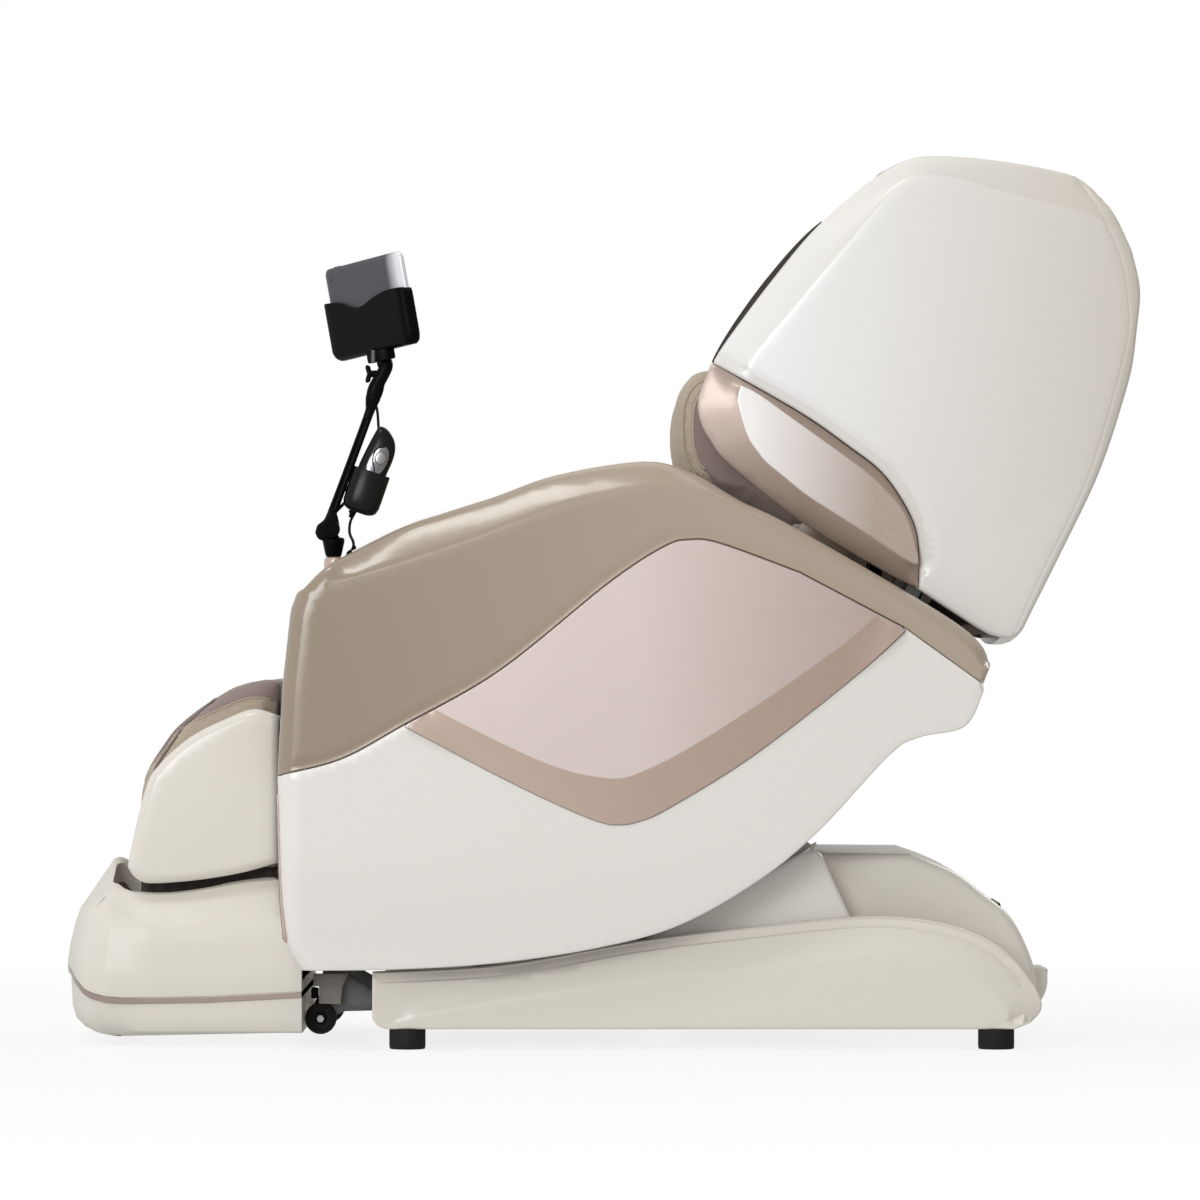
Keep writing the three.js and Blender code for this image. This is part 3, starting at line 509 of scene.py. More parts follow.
def inset(outline, by):
    """The outline moved inwards, without the points that would fold over."""
    outline = turned(outline)
    tangent = np.roll(outline, -1, 0) - np.roll(outline, 1, 0)
    normal = columns(-tangent[:, 1], tangent[:, 0])
    moved = outline + by * normal / np.linalg.norm(normal, axis=1)[:, None].clip(1e-9)
    return moved[distance(moved, outline) > abs(by) * 0.96]


def ease(value, start, end):
    """Rises smoothly from 0 to 1 as the value goes from start to end."""
    t = np.clip((value - start) / (end - start), 0, 1)
    return t * t * (3 - 2 * t)


def rounded_box(a0, a1, b0, b1, r, steps=8):
    """A rectangle's outline with rounded corners."""
    out = []
    for a, b, start in ((a1 - r, b1 - r, 0), (a0 + r, b1 - r, 90), (a0 + r, b0 + r, 180),
                        (a1 - r, b0 + r, 270)):
        out += [(a + r * math.cos(math.radians(start + 90 * i / steps)),
                 b + r * math.sin(math.radians(start + 90 * i / steps))) for i in range(steps + 1)]
    return chain(polygon(out, 10))


def edge_drop(d, r):
    """How far a rounded edge of radius r lies below the face, at a distance d in from the edge."""
    inward = np.clip(r - d, 0, r)
    return r - np.sqrt(np.maximum(r * r - inward ** 2, 0))


def edge_rings(r):
    """How far in to set the rows of points that shape a rounded edge of radius r."""
    return (0.134 * r, 0.5 * r, r)


# ---- pieces ----
def looped(loop):
    """The loop with its first point repeated at the end."""
    return np.vstack([loop, loop[:1]])


def upright(p):
    """From the chair's own zero, in millimetres, to the frame, in metres."""
    return (p + np.array([SHIFT, 0, 0])) * MM


def leaning(p, place, angle):
    """From a place of its own, which leans back by an angle, to the frame."""
    x, y, z = p.T
    return upright(columns(place[0] + x * math.cos(angle) + z * math.sin(angle), place[1] + y,
                           place[2] - x * math.sin(angle) + z * math.cos(angle)))


def leaned(p):
    """From the backrest's own place, drawn upright from its pivot, to the frame."""
    return leaning(p, (RECLINE[0], 0, RECLINE[1]), LEAN)


def new_piece(name, points, faces, looks, body, nodes=(), index=None, sharp=38, slot=None):
    """A mesh piece from points in metres, shaded smooth, which rides on a body and stands for some nodes. The
    slot argument is not used."""
    mesh = bpy.data.meshes.new(name)
    mesh.from_pydata([tuple(p) for p in points], [], [tuple(int(i) for i in f) for f in faces])
    for look in looks:
        mesh.materials.append(look)
    if index is not None:
        mesh.polygons.foreach_set("material_index", np.asarray(index, int))
    mesh.validate()
    piece = added(name, mesh)
    outward(piece)
    mesh.shade_smooth()
    if sharp:
        mesh.set_sharp_from_angle(angle=math.radians(sharp))
    if body:
        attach(piece, body)
    if nodes:
        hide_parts(*nodes)
    return piece


def outward(piece):
    """Turns the piece's faces outwards."""
    work = bmesh.new()
    work.from_mesh(piece.data)
    bmesh.ops.remove_doubles(work, verts=work.verts, dist=1e-6)
    bmesh.ops.recalc_face_normals(work, faces=work.faces)
    work.to_mesh(piece.data)
    work.free()


def filled(outline, rings=(), creases=(), spacing=12.0, clear=0.45):
    """A fine triangle mesh inside an outline, with rows of points along its edge and along each crease."""
    outline = turned(np.asarray(outline, float))
    loops = [outline, *(inset(outline, r) for r in rings if r > 0)]
    points, edges = [], []
    for loop in loops[1:]:
        base = len(outline) + sum(map(len, points))
        points.append(loop)
        edges += [(base + i, base + (i + 1) % len(loop)) for i in range(len(loop))
                  if np.linalg.norm(loop[i] - loop[(i + 1) % len(loop)]) < 3 * spacing]
    for crease in creases:
        crease = np.asarray(crease, float)
        crease = crease[inside(crease, outline) & (distance(crease, outline) > 0.5)]
        base = len(outline) + sum(map(len, points))
        points.append(crease)
        edges += [(base + i, base + i + 1) for i in range(len(crease) - 1)
                  if np.linalg.norm(crease[i] - crease[i + 1]) < 3 * spacing]
    low, high = outline.min(0), outline.max(0)
    rows = np.arange(low[1], high[1], spacing * 0.866)
    grid = np.array([(x + (i % 2) * spacing / 2, z) for i, z in enumerate(rows)
                     for x in np.arange(low[0], high[0], spacing)])
    grid = grid[inside(grid, outline)]
    for loop in loops:
        grid = grid[distance(grid, loop) > spacing * clear]
    for crease in creases:
        grid = grid[distance(grid, crease, False) > spacing * clear]
    everything = np.vstack([outline, *points, grid])
    flat = [Vector(p) for p in everything]
    out, _, faces, *_ = delaunay_2d_cdt(flat, edges, [list(range(len(outline)))], 1, 1e-3)
    return np.array([tuple(v) for v in out]), [list(f) for f in faces]


def closed_skins(points, faces, outer, inner):
    """Two skins over the same flat mesh, joined round the edge: points, faces and each face's mark, which is
    0 on the outer skin, 1 on the inner one and 2 on the edge."""
    count = len(points)
    uses = {(a, b): True for face in faces for a, b in zip(face, face[1:] + face[:1])}
    rim = [(a, b) for a, b in uses if (b, a) not in uses]
    back = [[count + i for i in reversed(face)] for face in faces]
    walls = [[b, a, count + a, count + b] for a, b in rim]
    marks = [0] * len(faces) + [1] * len(back) + [2] * len(walls)
    return np.vstack([outer, inner]), [*faces, *back, *walls], np.array(marks)


def plate(name, outline, outer, inner, body, looks, nodes=(), place=upright, rings=(), creases=(),
          spacing=12.0, paint=None, sides=PAIR, sharp=38, slot=None):
    """A moulded panel. outer and inner give [x, y, z] for flat points and their distance from the edge.
    paint gives each face's material number from its middle point and its mark."""
    points, faces = filled(outline, rings, creases, spacing)
    d = distance(points, turned(np.asarray(outline, float)))
    solid, all_faces, marks = closed_skins(points, faces, outer(points, d), inner(points, d))
    index = None
    if paint is not None:
        flat = np.vstack([points, points])
        middles = np.array([flat[f].mean(0) for f in all_faces])
        index = paint(middles, marks)
    made = []
    for side in sides:
        mirror = np.array([1, -1 if side == "left" else 1, 1])
        title = name if len(sides) == 1 else f"{name}_{side}"
        stands_for = [node if len(sides) == 1 else f"{node}_{side}" for node in nodes]
        made.append(new_piece(title, place(solid * mirror), all_faces, looks, body, stands_for, index, sharp,
                              slot))
    return made


def level(y):
    """Flat points at y, where y may depend on the point and on its distance from the edge."""
    def put(points, d):
        return columns(points[:, 0], y(points, d) if callable(y) else y, points[:, 1])
    return put


def rounded(y, r):
    """Flat points at y, with the edge rounded towards smaller y, or towards larger y when r is negative."""
    return level(lambda p, d: y - math.copysign(1, r) * edge_drop(d, abs(r)))


def tube(path, radius, sides=10, closed=False):
    """Points and faces of a round tube along a path in metres, with flat ends."""
    path = np.asarray(path, float)
    count = len(path)
    if closed:
        tangent = np.roll(path, -1, 0) - np.roll(path, 1, 0)
    else:
        tangent = np.gradient(path, axis=0)
    tangent /= np.linalg.norm(tangent, axis=1)[:, None].clip(1e-12)
    normal = np.cross(tangent[0], (0, 0, 1) if abs(tangent[0][2]) < 0.9 else (0, 1, 0))
    rings = []
    for i in range(count):
        normal = normal - tangent[i] * normal.dot(tangent[i])
        normal /= np.linalg.norm(normal)
        other = np.cross(tangent[i], normal)
        r = radius[i] if hasattr(radius, "__len__") else radius
        angles = 2 * math.pi * np.arange(sides) / sides
        rings.append(path[i] + r * (np.cos(angles)[:, None] * normal + np.sin(angles)[:, None] * other))
    points = np.vstack(rings)
    faces = []
    for i in range(count if closed else count - 1):
        j = (i + 1) % count
        faces += [[i * sides + k, i * sides + (k + 1) % sides, j * sides + (k + 1) % sides, j * sides + k]
                  for k in range(sides)]
    if not closed:
        faces += [list(range(sides))[::-1], [(count - 1) * sides + k for k in range(sides)]]
    return points, faces


def banded(rings, steps, ring=False):
    """The faces between rows of points, each row a ring, with flat ends unless the rows close on themselves."""
    faces = [[i * steps + k, i * steps + (k + 1) % steps, (i + 1) % rings * steps + (k + 1) % steps,
              (i + 1) % rings * steps + k] for i in range(rings if ring else rings - 1) for k in range(steps)]
    return faces if ring else [*faces, list(range(steps)), [(rings - 1) * steps + k for k in range(steps)]]


def merged(parts):
    """Several (points, faces) as one."""
    points, faces, base = [], [], 0
    for p, f in parts:
        points.append(p)
        faces += [[base + i for i in face] for face in f]
        base += len(p)
    return np.vstack(points), faces


# ---- base ----
RAIL_FULL = [(-308, 28), (565, 28), (592, 41), (603, 62), (585, 98), (545, 140), (490, 167), (420, 181),
             (338, 182), (186, 166), (49, 149), (-143, 116), (-319, 106), (-319, 42)]
RAIL_FACE = [(-290, 28), (530, 28), (552, 38), (556, 56), (530, 86), (500, 110), (465, 124), (406, 131),
             (338, 128), (186, 109), (49, 95), (-143, 68), (-262, 48), (-290, 38)]


def make_rails():
    full = bowed(RAIL_FULL, 1, 12)
    face = bowed(RAIL_FACE, 1, 12)
    top = smooth(RAIL_FULL[4:13])

    def outer(p, d):
        within = distance(p, face) * np.where(inside(p, face), -1, 1)
        slope = np.clip(within, 0, None) / (np.clip(within, 0, None) + d + 1e-6)
        slope = np.where(p[:, 1] < 40, 0, slope) * ease(p[:, 0], -319, -215)
        below_top = distance(p, top, False)
        band = 2.4 * (1 - ease(below_top, 14, 16)) - 1.8 * (1 - ease(below_top, 2.4, 4))
        return RAIL_OUT - 18 * slope ** 0.9 - 0.8 * np.exp(-(within / 3) ** 2) - band - edge_drop(d, 2.4)

    plate("base_rail_cover", full, level(outer), rounded(RAIL_INNER, -2), "base", [CREAM], ["base_rail"],
          rings=(0.32, 1.2, 2.4, 4, 14, 16), creases=[face, inset(face, 3), inset(face, -3)])


HUMP = [(340, 78), (602, 78), (596, 112), (578, 156), (557, 187), (522, 215), (494, 237), (459, 254),
        (423, 267), (301, 268), (284, 262)]
WEDGE = [(-6, 114), (270, 270), (284, 276), (300, 268), (350, 160), (350, 80), (20, 80)]


def make_rear_cover():
    hump = bowed(HUMP, 1, 8)
    plate("rear_cover_hump", hump, level(lambda p, d: 262 - 1.3 * edge_drop(d, 16)),
          level(lambda p, d: -262 + 1.3 * edge_drop(d, 16)), "base", [CREAM], ["rear_cover"],
          rings=(0.5, 2, 5, 10, 16), spacing=16, sides=ONE)
    wedge = bowed(WEDGE, 0, 3)
    # The wedge is cream like the hump, but takes the lighter white paint: painted light, which brightens it
    # where the side panel shades it.
    plate("rear_cover_wedge", wedge, rounded(304.4, 7), level(255), "base", [WHITE], rings=edge_rings(7),
          spacing=14, slot="cream_shell")
    tilt = math.atan2(18, 44)
    for k in range(4):
        height = 150 + 13 * k
        x = np.interp(height, [112, 156, 187], [596, 578, 557])

        def on_slope(p, x=x, height=height):
            y, out, up = p.T
            return upright(columns(x - up * math.sin(tilt) + out * math.cos(tilt), y,
                                   height + up * math.cos(tilt) + out * math.sin(tilt)))

        plate(f"rear_vent_slot_{k + 1}", rounded_box(-110, 110, 0, 5, 2.4, 3), level(1.2), level(-3), "base",
              [BLACK], place=on_slope, spacing=20, sides=ONE)


# ---- arms and side panels ----
FRONT_EDGE = [(110, -416), (130, -429), (153, -438), (200, -442.5), (262, -445), (378, -448), (495, -442),
              (604, -430), (632, -420), (656, -398), (710, -398)]
BEND = 24  # radius of the arm's front corner
WRAP = BEND * math.pi / 2 + ARM_OUT - BEND - 292 - BEND  # how far the unrolled sheet passes the front edge
SPLIT = [(-448, 378), (-361, 400), (-274, 447), (-143, 522), (8, 643), (83, 692), (117, 701), (159, 696),
         (268, 656)]
RIDGE = [(-380, 640), (-266, 673), (-184, 700), (-74, 741), (-6, 759), (63, 773), (117, 770), (159, 755),
         (213, 727), (268, 693), (377, 632), (487, 563), (516, 528)]
CREST = [(-398, 656), (-286, 714), (-218, 738), (-149, 760), (-81, 785), (-6, 801), (56, 808), (90, 804),
         (131, 788), (186, 755), (268, 714), (487, 584), (530, 530)]
PANEL_LOW = [(520, 495), (494, 445), (432, 430), (391, 406), (295, 303), (213, 235), (104, 173), (-6, 142),
             (-143, 121), (-279, 112), (-416, 110)]
split = chain(smooth(SPLIT), lines([SPLIT[-1], (412, 580), (519, 503)])[1:])
ridge = smooth(RIDGE)
crest = smooth(CREST)


def front_x(z):
    """Where the front edge of the arm and the side panel is, at a height."""
    return np.interp(z, *zip(*FRONT_EDGE))


def bent(p, depth, face=ARM_OUT):
    """Points of the arm's skin, drawn unrolled, at a depth below it: the sheet turns round the front corner."""
    x, z = p.T
    past = front_x(z) + BEND - x
    angle = np.clip(past / BEND, 0, math.pi / 2)
    over = np.maximum(past - BEND * math.pi / 2, 0)
    radius = BEND - depth
    bent_x = front_x(z) + BEND - radius * np.sin(angle)
    bent_y = face - BEND + radius * np.cos(angle) - over
    return columns(np.where(past > 0, bent_x, x), np.where(past > 0, bent_y, face - depth), z)


def wall_depth(p):
    """How thick the side is: 14 round its front corner and 38 behind it."""
    return np.interp(front_x(p[:, 1]) + BEND - p[:, 0], [-60, 0], [38, 14])


def make_side_panels():
    front = np.array([(x - WRAP, z) for z, x in FRONT_EDGE if z <= 378])
    low = smooth(PANEL_LOW)
    outline = chain(split - (0, 0.6), low, lines(np.array([(-416, 110), (-416 - WRAP, 110)])), smooth(front),
                    lines([(-448 - WRAP, 377.4), (-448, 377.4)]))

    def face(p):
        return ARM_OUT - 9 * ease(290 - p[:, 1], 0, 190) ** 1.5

    plate("side_panel_shell", outline, lambda p, d: bent(p, edge_drop(d, 2.4), face(p)),
          lambda p, d: bent(p, wall_depth(p), face(p)), "seat", [WHITE], ["side_panel"], rings=edge_rings(2.4),
          spacing=12, sharp=50)


def make_arm_covers():
    front = np.array([(x - WRAP, z) for z, x in FRONT_EDGE if 378 <= z <= 604])
    outline = chain(smooth(front), lines([(-430 - WRAP, 604), (-430 - WRAP + 6, 626), (-424 - BEND, 632),
                                          (-420, 634), (-398, 656)]), crest, lines([(530, 530), (519, 503.6)]),
                    (split + (0, 0.6))[::-1], lines([(-448, 378.6), (-448 - WRAP, 378.6)]))
    near_split = chain(split, lines([(-448, 378), (-448 - WRAP, 378)]))

    def rim(p, d):
        return np.where(distance(p, near_split, False) < 4, edge_drop(d, 0.7), edge_drop(d, 9))

    def face(p):
        above = p[:, 1] > np.interp(p[:, 0], ridge[:, 0], ridge[:, 1])
        from_ridge = distance(p, ridge, False)
        from_crest = distance(p, crest, False)
        slope = np.where(above, from_ridge, 0) / (from_ridge + from_crest + 1e-6) * ease(p[:, 0], -400, -335)
        return ARM_OUT - 24 * slope ** 1.15 - 0.6 * np.exp(-(from_ridge / 3) ** 2)

    offsets = [ridge + np.array((0, k)) for k in (-4, 0, 4, 9)]
    plate("arm_cover_shell", outline, lambda p, d: bent(p, rim(p, d), face(p)),
          lambda p, d: bent(p, np.maximum(wall_depth(p), 14) + face(p) - ARM_OUT
                            + 12 * ease(p[:, 0], -350, -300), face(p)), "seat", [TAUPE], ["arm_cover"],
          rings=(0.25, 0.7, 2, 5, 9), creases=offsets, spacing=12, sharp=50)


def make_arm_trims():
    """A thin bright bead between the arm's cover and its pad."""
    run = crest[(crest[:, 0] > -350) & (crest[:, 0] < 60)] + (0, 0.6)
    for side, sign in SIDES:
        path = columns(run[:, 0], sign * 352.5, run[:, 1])
        new_piece(f"arm_trim_{side}", *tube(upright(path), 1.5 * MM, 8), [WING_FACET], "seat")


LOW_EDGE = [(412, 576), (336, 508), (200, 403), (87, 333), (49, 316), (22, 311), (-6, 315), (-60, 337),
            (-143, 377), (-272, 445)]
BAND_EDGE = [(372, 596), (366, 590), (320, 552), (215, 478), (110, 412), (49, 382), (22, 374), (-10, 376),
             (-55, 386), (-115, 410), (-220, 462), (-234, 470)]


def make_rose_panels():
    upper = (split - (0, 2))[(split[:, 0] > -270) & (split[:, 0] < 412)]
    outline = chain(upper, smooth(LOW_EDGE))
    band = smooth(BAND_EDGE)
    low_area = chain(smooth(LOW_EDGE) + (0, -6), band[::-1])

    def outer(p, d):
        from_band = distance(p, band, False)
        below = inside(p, low_area)
        slope = np.where(below, from_band / (from_band + d + 1e-6), 0)
        slope = slope * ease(p[:, 0], -262, -180) * (1 - ease(p[:, 0], 330, 400))
        crown = 1.8 * np.clip(1 - ((p[:, 0] - 60) / 330) ** 2 - ((p[:, 1] - 540) / 170) ** 2, 0, 1)
        return ROSE_OUT - 1.2 + crown - 4.6 * slope - edge_drop(d, 0.3)

    def paint(middles, marks):
        return inside(middles, low_area).astype(int)

    plate("rose_panel_skin", outline, level(outer), level(ARM_OUT - 3), "seat", [ROSE, BAND], ["rose_panel"],
          rings=(0.15, 0.3, 0.8, 2), creases=[band, band + (0, 2.2), band - (0, 2.2)], paint=paint)
    # A thin dark brown cord round the rose panel's edge: painted shade, standing in for the shadow in the gap
    # between the panel and the arm cover.
    for side, sign in SIDES:
        line = inset(outline, -1.1)
        path = upright(columns(line[:, 0], sign * (ARM_OUT - 0.1), line[:, 1]))
        new_piece(f"rose_panel_seal_{side}", *tube(path, 0.55 * MM, 6, True), [BROWN], "seat")


def make_front_vents():
    def strip(x0, x1, z0, z1, r):
        outline = rounded_box(x0, x1, z0, z1, r, 5)
        return outline + columns(front_x(outline[:, 1]) + 445, 0)

    plate("front_vent_frame", strip(-470, -452, 148, 352, 8.8), lambda p, d: bent(p, -2.2 + edge_drop(d, 1.6)),
          lambda p, d: bent(p, 3), "seat", [WING], ["front_vent"], rings=edge_rings(1.6), spacing=9)
    plate("front_vent_slot", strip(-467, -455, 152, 348, 5.9), lambda p, d: bent(p, -2.8 + edge_drop(d, 0.5)),
          lambda p, d: bent(p, 1), "seat", [BROWN_TRIM], rings=edge_rings(0.5), spacing=9)


# ---- hood, wings and back shell, drawn upright from the recline pivot ----
HOOD_FRONT = [(-371, 393), (-364, 443), (-348, 530), (-327, 619), (-296, 696), (-275, 737)]
HOOD_TOP = [(-275, 737), (-250, 768), (-211, 791), (-140, 819), (-66, 841), (-25, 846), (28, 827), (77, 790)]
HOOD_REAR = [(77, 790), (112, 746), (133, 694), (151, 642), (162, 586), (171, 528), (176, 469), (177, 380),
             (177, 283), (176, 248), (161, 233), (126, 228), (60, 235), (24, 239)]
WING_TOP = [(24, 239), (0, 287), (-21, 316), (-58, 343), (-98, 362), (-149, 372), (-232, 384), (-371, 391)]
WING_LOW = [(22, 240), (-37, 241), (-165, 251), (-285, 276), (-325, 294), (-350, 313), (-366, 340), (-371, 386)]
HOOD_FACET = [(-322, 385), (-322, 432), (-301, 522), (-276, 627), (-249, 725), (-206, 762), (-122, 781),
              (-18, 803), (20, 806)]
HOOD_SEAM = [(-25, 846), (23, 817), (76, 774), (110, 730), (135, 680), (154, 597), (169, 512), (175, 438),
             (175, 345), (178, 246)]
WING_FACET_LINE = [(-321, 380), (-316, 363), (-308, 351), (-291, 332), (-275, 318), (-258, 309), (-242, 302),
                   (-208, 294), (-170, 286), (-123, 281), (-75, 276), (6, 268), (-6, 288), (-24, 309),
                   (-43, 325), (-70, 338), (-104, 349), (-152, 358), (-222, 369), (-293, 380)]


def make_hood_sides():
    outline = chain(smooth(HOOD_FRONT), smooth(HOOD_TOP), smooth(HOOD_REAR), smooth(WING_TOP)[:-1] + (0, 0.5))
    facet = smooth(HOOD_FACET)
    seam = smooth([(u - 9, v) for u, v in HOOD_SEAM])
    lower = smooth(WING_TOP)
    edge = chain(smooth(HOOD_FRONT), smooth(HOOD_TOP))
    middle = np.array((-90, 560))
    beyond = edge + 0.05 * (edge - middle)
    bevel_area = chain(lines([(-322, 370), beyond[0]]), beyond, lines([beyond[-1], (40, 806)]), facet[::-1])

    def outer(p, d):
        from_facet = distance(p, facet, False)
        slope = np.where(inside(p, bevel_area), from_facet / (from_facet + distance(p, edge, False) + 1e-6), 0)
        slope = slope * (1 - ease(p[:, 0], -30, 50))
        from_seam = distance(p, seam, False)
        behind = (p[:, 0] > np.interp(p[:, 1], seam[::-1, 1], seam[::-1, 0])) & (p[:, 0] > 0)
        crown = 6 * np.clip(1 - ((p[:, 0] + 90) / 250) ** 2 - ((p[:, 1] - 560) / 300) ** 2, 0, 1)
        band = 3.2 * (1 - ease(distance(p, lower, False), 14, 19)) * (p[:, 0] < 20)
        groove = 1.4 * np.exp(-(from_seam / 1.4) ** 2)
        return (HOOD_OUT + crown - 25 * slope ** 1.1 - 1.0 * np.exp(-(from_facet / 4) ** 2) - band - groove
                - np.where(behind, 0.35 * np.minimum(from_seam, 40), 0) - edge_drop(d, 5))

    creases = [facet, facet + (4, -3), facet - (4, -3), seam, seam + (1.5, 0), seam - (1.5, 0), seam + (4, 0),
               seam - (4, 0), lower + (0, 14), lower + (0, 19)]

    def paint(middles, marks):
        # The bevels and the lower band take the darker copy of the hood paint: painted shade.
        bevelled = inside(middles, bevel_area) & (middles[:, 0] < 50)
        shaded_lower_band = (distance(middles, lower, False) < 15) & (middles[:, 0] < 20)
        return np.where(marks == 1, 1, np.where(bevelled | shaded_lower_band, 2, 0))

    plate("hood_side_shell", outline, level(outer), rounded(HOOD_IN, -2), "backrest",
          [HOOD, LINING, HOOD_BEVEL_SHADE], ["hood_side"], leaned, rings=(0.7, 2.5, 5), creases=creases, spacing=12,
          paint=paint, sharp=50)


def make_hood_lining():
    """The dark padding inside the hood, which shows as a sliver along its front edge."""
    edge = smooth(HOOD_FRONT)
    edge = edge[(edge[:, 1] > 392) & (edge[:, 1] < 640)]
    along = (edge[:, 1] - 392) / 248
    out = edge - columns(7.5 * np.sin(np.pi * along) ** 0.6, 0)
    outline = chain(out, (edge + (6, 0))[::-1])
    plate("hood_lining_edge", outline, level(HOOD_OUT - 30), level(HOOD_IN + 1), "backrest", [LINING], (),
          leaned, spacing=9)


def make_wings():
    outline = chain(smooth(WING_TOP) - (0, 1.0), smooth(WING_LOW)[::-1][1:-1])
    facet = chain(smooth([*WING_FACET_LINE, WING_FACET_LINE[0]])[:-1])

    def outer(p, d):
        within = inside(p, facet)
        away = distance(p, facet)
        slope = np.where(within, 0, away / (away + d + 1e-6))
        crown = 1.2 * np.clip(np.where(within, away, 0) / 30, 0, 1)
        return WING_OUT - 1.2 + crown - 13 * slope - edge_drop(d, 1.6)

    plate("wing_trim_skin", outline, level(outer), level(HOOD_IN), "backrest", [WING, WING_FACET],
          ["wing_trim"], leaned, rings=edge_rings(1.6), creases=[facet, inset(facet, 2.5), inset(facet, -2.5)],
          spacing=10, paint=lambda middles, marks: (inside(middles, facet) & (marks == 0)).astype(int),
          sharp=50)


def strip_shell(name, line, thick, half, bulge, look, node, grooves=()):
    """A shell that follows a line in the side view and runs across the chair, bulging in the middle."""
    line = np.asarray(line, float)
    tangent = np.gradient(line, axis=0)
    normal = columns(tangent[:, 1], -tangent[:, 0]) * -1
    normal /= np.linalg.norm(normal, axis=1)[:, None]
    if np.mean((line - line.mean(0)) * normal) < 0:
        normal = -normal
    cuts = [g + k for g in grooves for k in (-5, -2.5, 0, 2.5, 5)]
    ys = np.array(sorted({*np.linspace(-half, half, 31).round(1), -half + 1.5, half - 1.5, -half + 5, half - 5,
                          *cuts}))
    ys = ys[(ys >= -half) & (ys <= half)]
    rows_out, rows_in = [], []
    for y in ys:
        out = bulge * (1 - (y / half) ** 2) - edge_drop(half - abs(y), 5)
        out -= sum(1.6 * math.exp(-((y - g) / 2.2) ** 2) for g in grooves)
        outer = line + normal * out
        inner = line - normal * (thick - bulge * (1 - (y / half) ** 2) * 0.5)
        rows_out.append(columns(outer[:, 0], y, outer[:, 1]))
        rows_in.append(columns(inner[:, 0], y, inner[:, 1]))
    n, m = len(ys), len(line)
    points = np.vstack([*rows_out, *rows_in])

    def at(skin, i, j):
        return skin * n * m + i * m + j

    faces = []
    for i in range(n - 1):
        for j in range(m - 1):
            faces.append([at(0, i, j), at(0, i, j + 1), at(0, i + 1, j + 1), at(0, i + 1, j)])
            faces.append([at(1, i, j), at(1, i + 1, j), at(1, i + 1, j + 1), at(1, i, j + 1)])
        for j in (0, m - 1):
            faces.append([at(0, i, j), at(0, i + 1, j), at(1, i + 1, j), at(1, i, j)])
    for j in range(m - 1):
        for i in (0, n - 1):
            faces.append([at(0, i, j), at(0, i, j + 1), at(1, i, j + 1), at(1, i, j)])
    return new_piece(name, leaned(points), faces, [look], "backrest", [node])


def make_hood_back():
    top, rear = smooth(HOOD_TOP), smooth(HOOD_REAR)
    line = chain(top, rear[(rear[:, 0] > 150) | (rear[:, 1] > 300)])
    strip_shell("hood_rear_shell", line, 13, HOOD_IN - GAP, 9, WHITE, "hood_rear", grooves=(-165, 165))
    middle = np.array((-90, 560))
    inner = line[: int(len(line) * 0.62)]
    toward = (middle - inner) / np.linalg.norm(middle - inner, axis=1)[:, None]
    strip_shell("hood_lining", inner + toward * 16, 10, HOOD_IN - GAP, 0, LINING, "hood_liner")


# ---- leg rest and foot section ----
CALF = [(-450, 458), (-484, 468), (-523, 455), (-575, 428), (-618, 389), (-636, 356), (-658, 264), (-658, 244),
        (-643, 229), (-620, 226), (-560, 231), (-501, 241), (-450, 255)]


def make_calf_shells():
    outline = shut(CALF)

    def outer(p, d):
        crown = 3 * np.clip(1 - ((p[:, 0] + 540) / 130) ** 2 - ((p[:, 1] - 340) / 130) ** 2, 0, 1)
        return CALF_OUT - 3 + crown - edge_drop(d, 13)

    plate("calf_shell_skin", outline, level(outer), rounded(236, -2), "legrest", [CREAM], ["calf_shell"],
          rings=(0.4, 1.8, 4, 7, 10, 13), spacing=11, slot="white_shell")


FOOT_PLAN = [(-690, 275), (-722, 260), (-741, 220), (-751, 150), (-756, 0), (-751, -150), (-741, -220),
             (-722, -260), (-690, -275)]
FOOT_REAR = -419
FOOT_HALF = 275
FRONT_RISE = [(0, 98), (18, 189), (35, 219), (49, 240), (64, 257), (78, 263), (96, 240), (110, 214)]
SIDE_RISE = [(0, 98), (3, 166), (12, 186), (30, 210), (40, 214)]
STRIP_FRONT = [(0, 112), (150, 108), (215, 101), (250, 84), (268, 70), (275, 65)]  # by distance from the middle
STRIP_SIDE = [(-706, 66), (-663, 63.5), (-548, 65.5), (-423, 72)]
CREASE_SIDE = [(-727, 178), (-685, 167), (-616, 163), (-547, 167), (-446, 175)]
FOOT_BASE = [(34, 66, 18, 12), (16, 40, 18.6, 16), (8, 24, 21, 24), (4.6, 12, 28, 36), (3.4, 7, 40, 52)]
WELL = (-686, -482, 32, 239)
WELL_FLOOR = 46


def well_outline(sign, grow):
    """One foot well's outline in plan, grown on every side."""
    x0, x1, y0, y1 = WELL
    low, high = (y0, y1) if sign > 0 else (-y1, -y0)
    return rounded_box(x0 - grow, x1 + grow, low - grow, high + grow, 64 + grow)


def foot_plan():
    """The plan of the foot shell at its widest, and how far each point belongs to the front."""
    front = smooth(FOOT_PLAN, 7)
    rear = [(-690, -FOOT_HALF), (FOOT_REAR, -FOOT_HALF), (FOOT_REAR, FOOT_HALF), (-690, FOOT_HALF)]
    plan = turned(chain(front, lines(rear)[1:-1]))
    return plan, ease(-plan[:, 0], 630, 700)


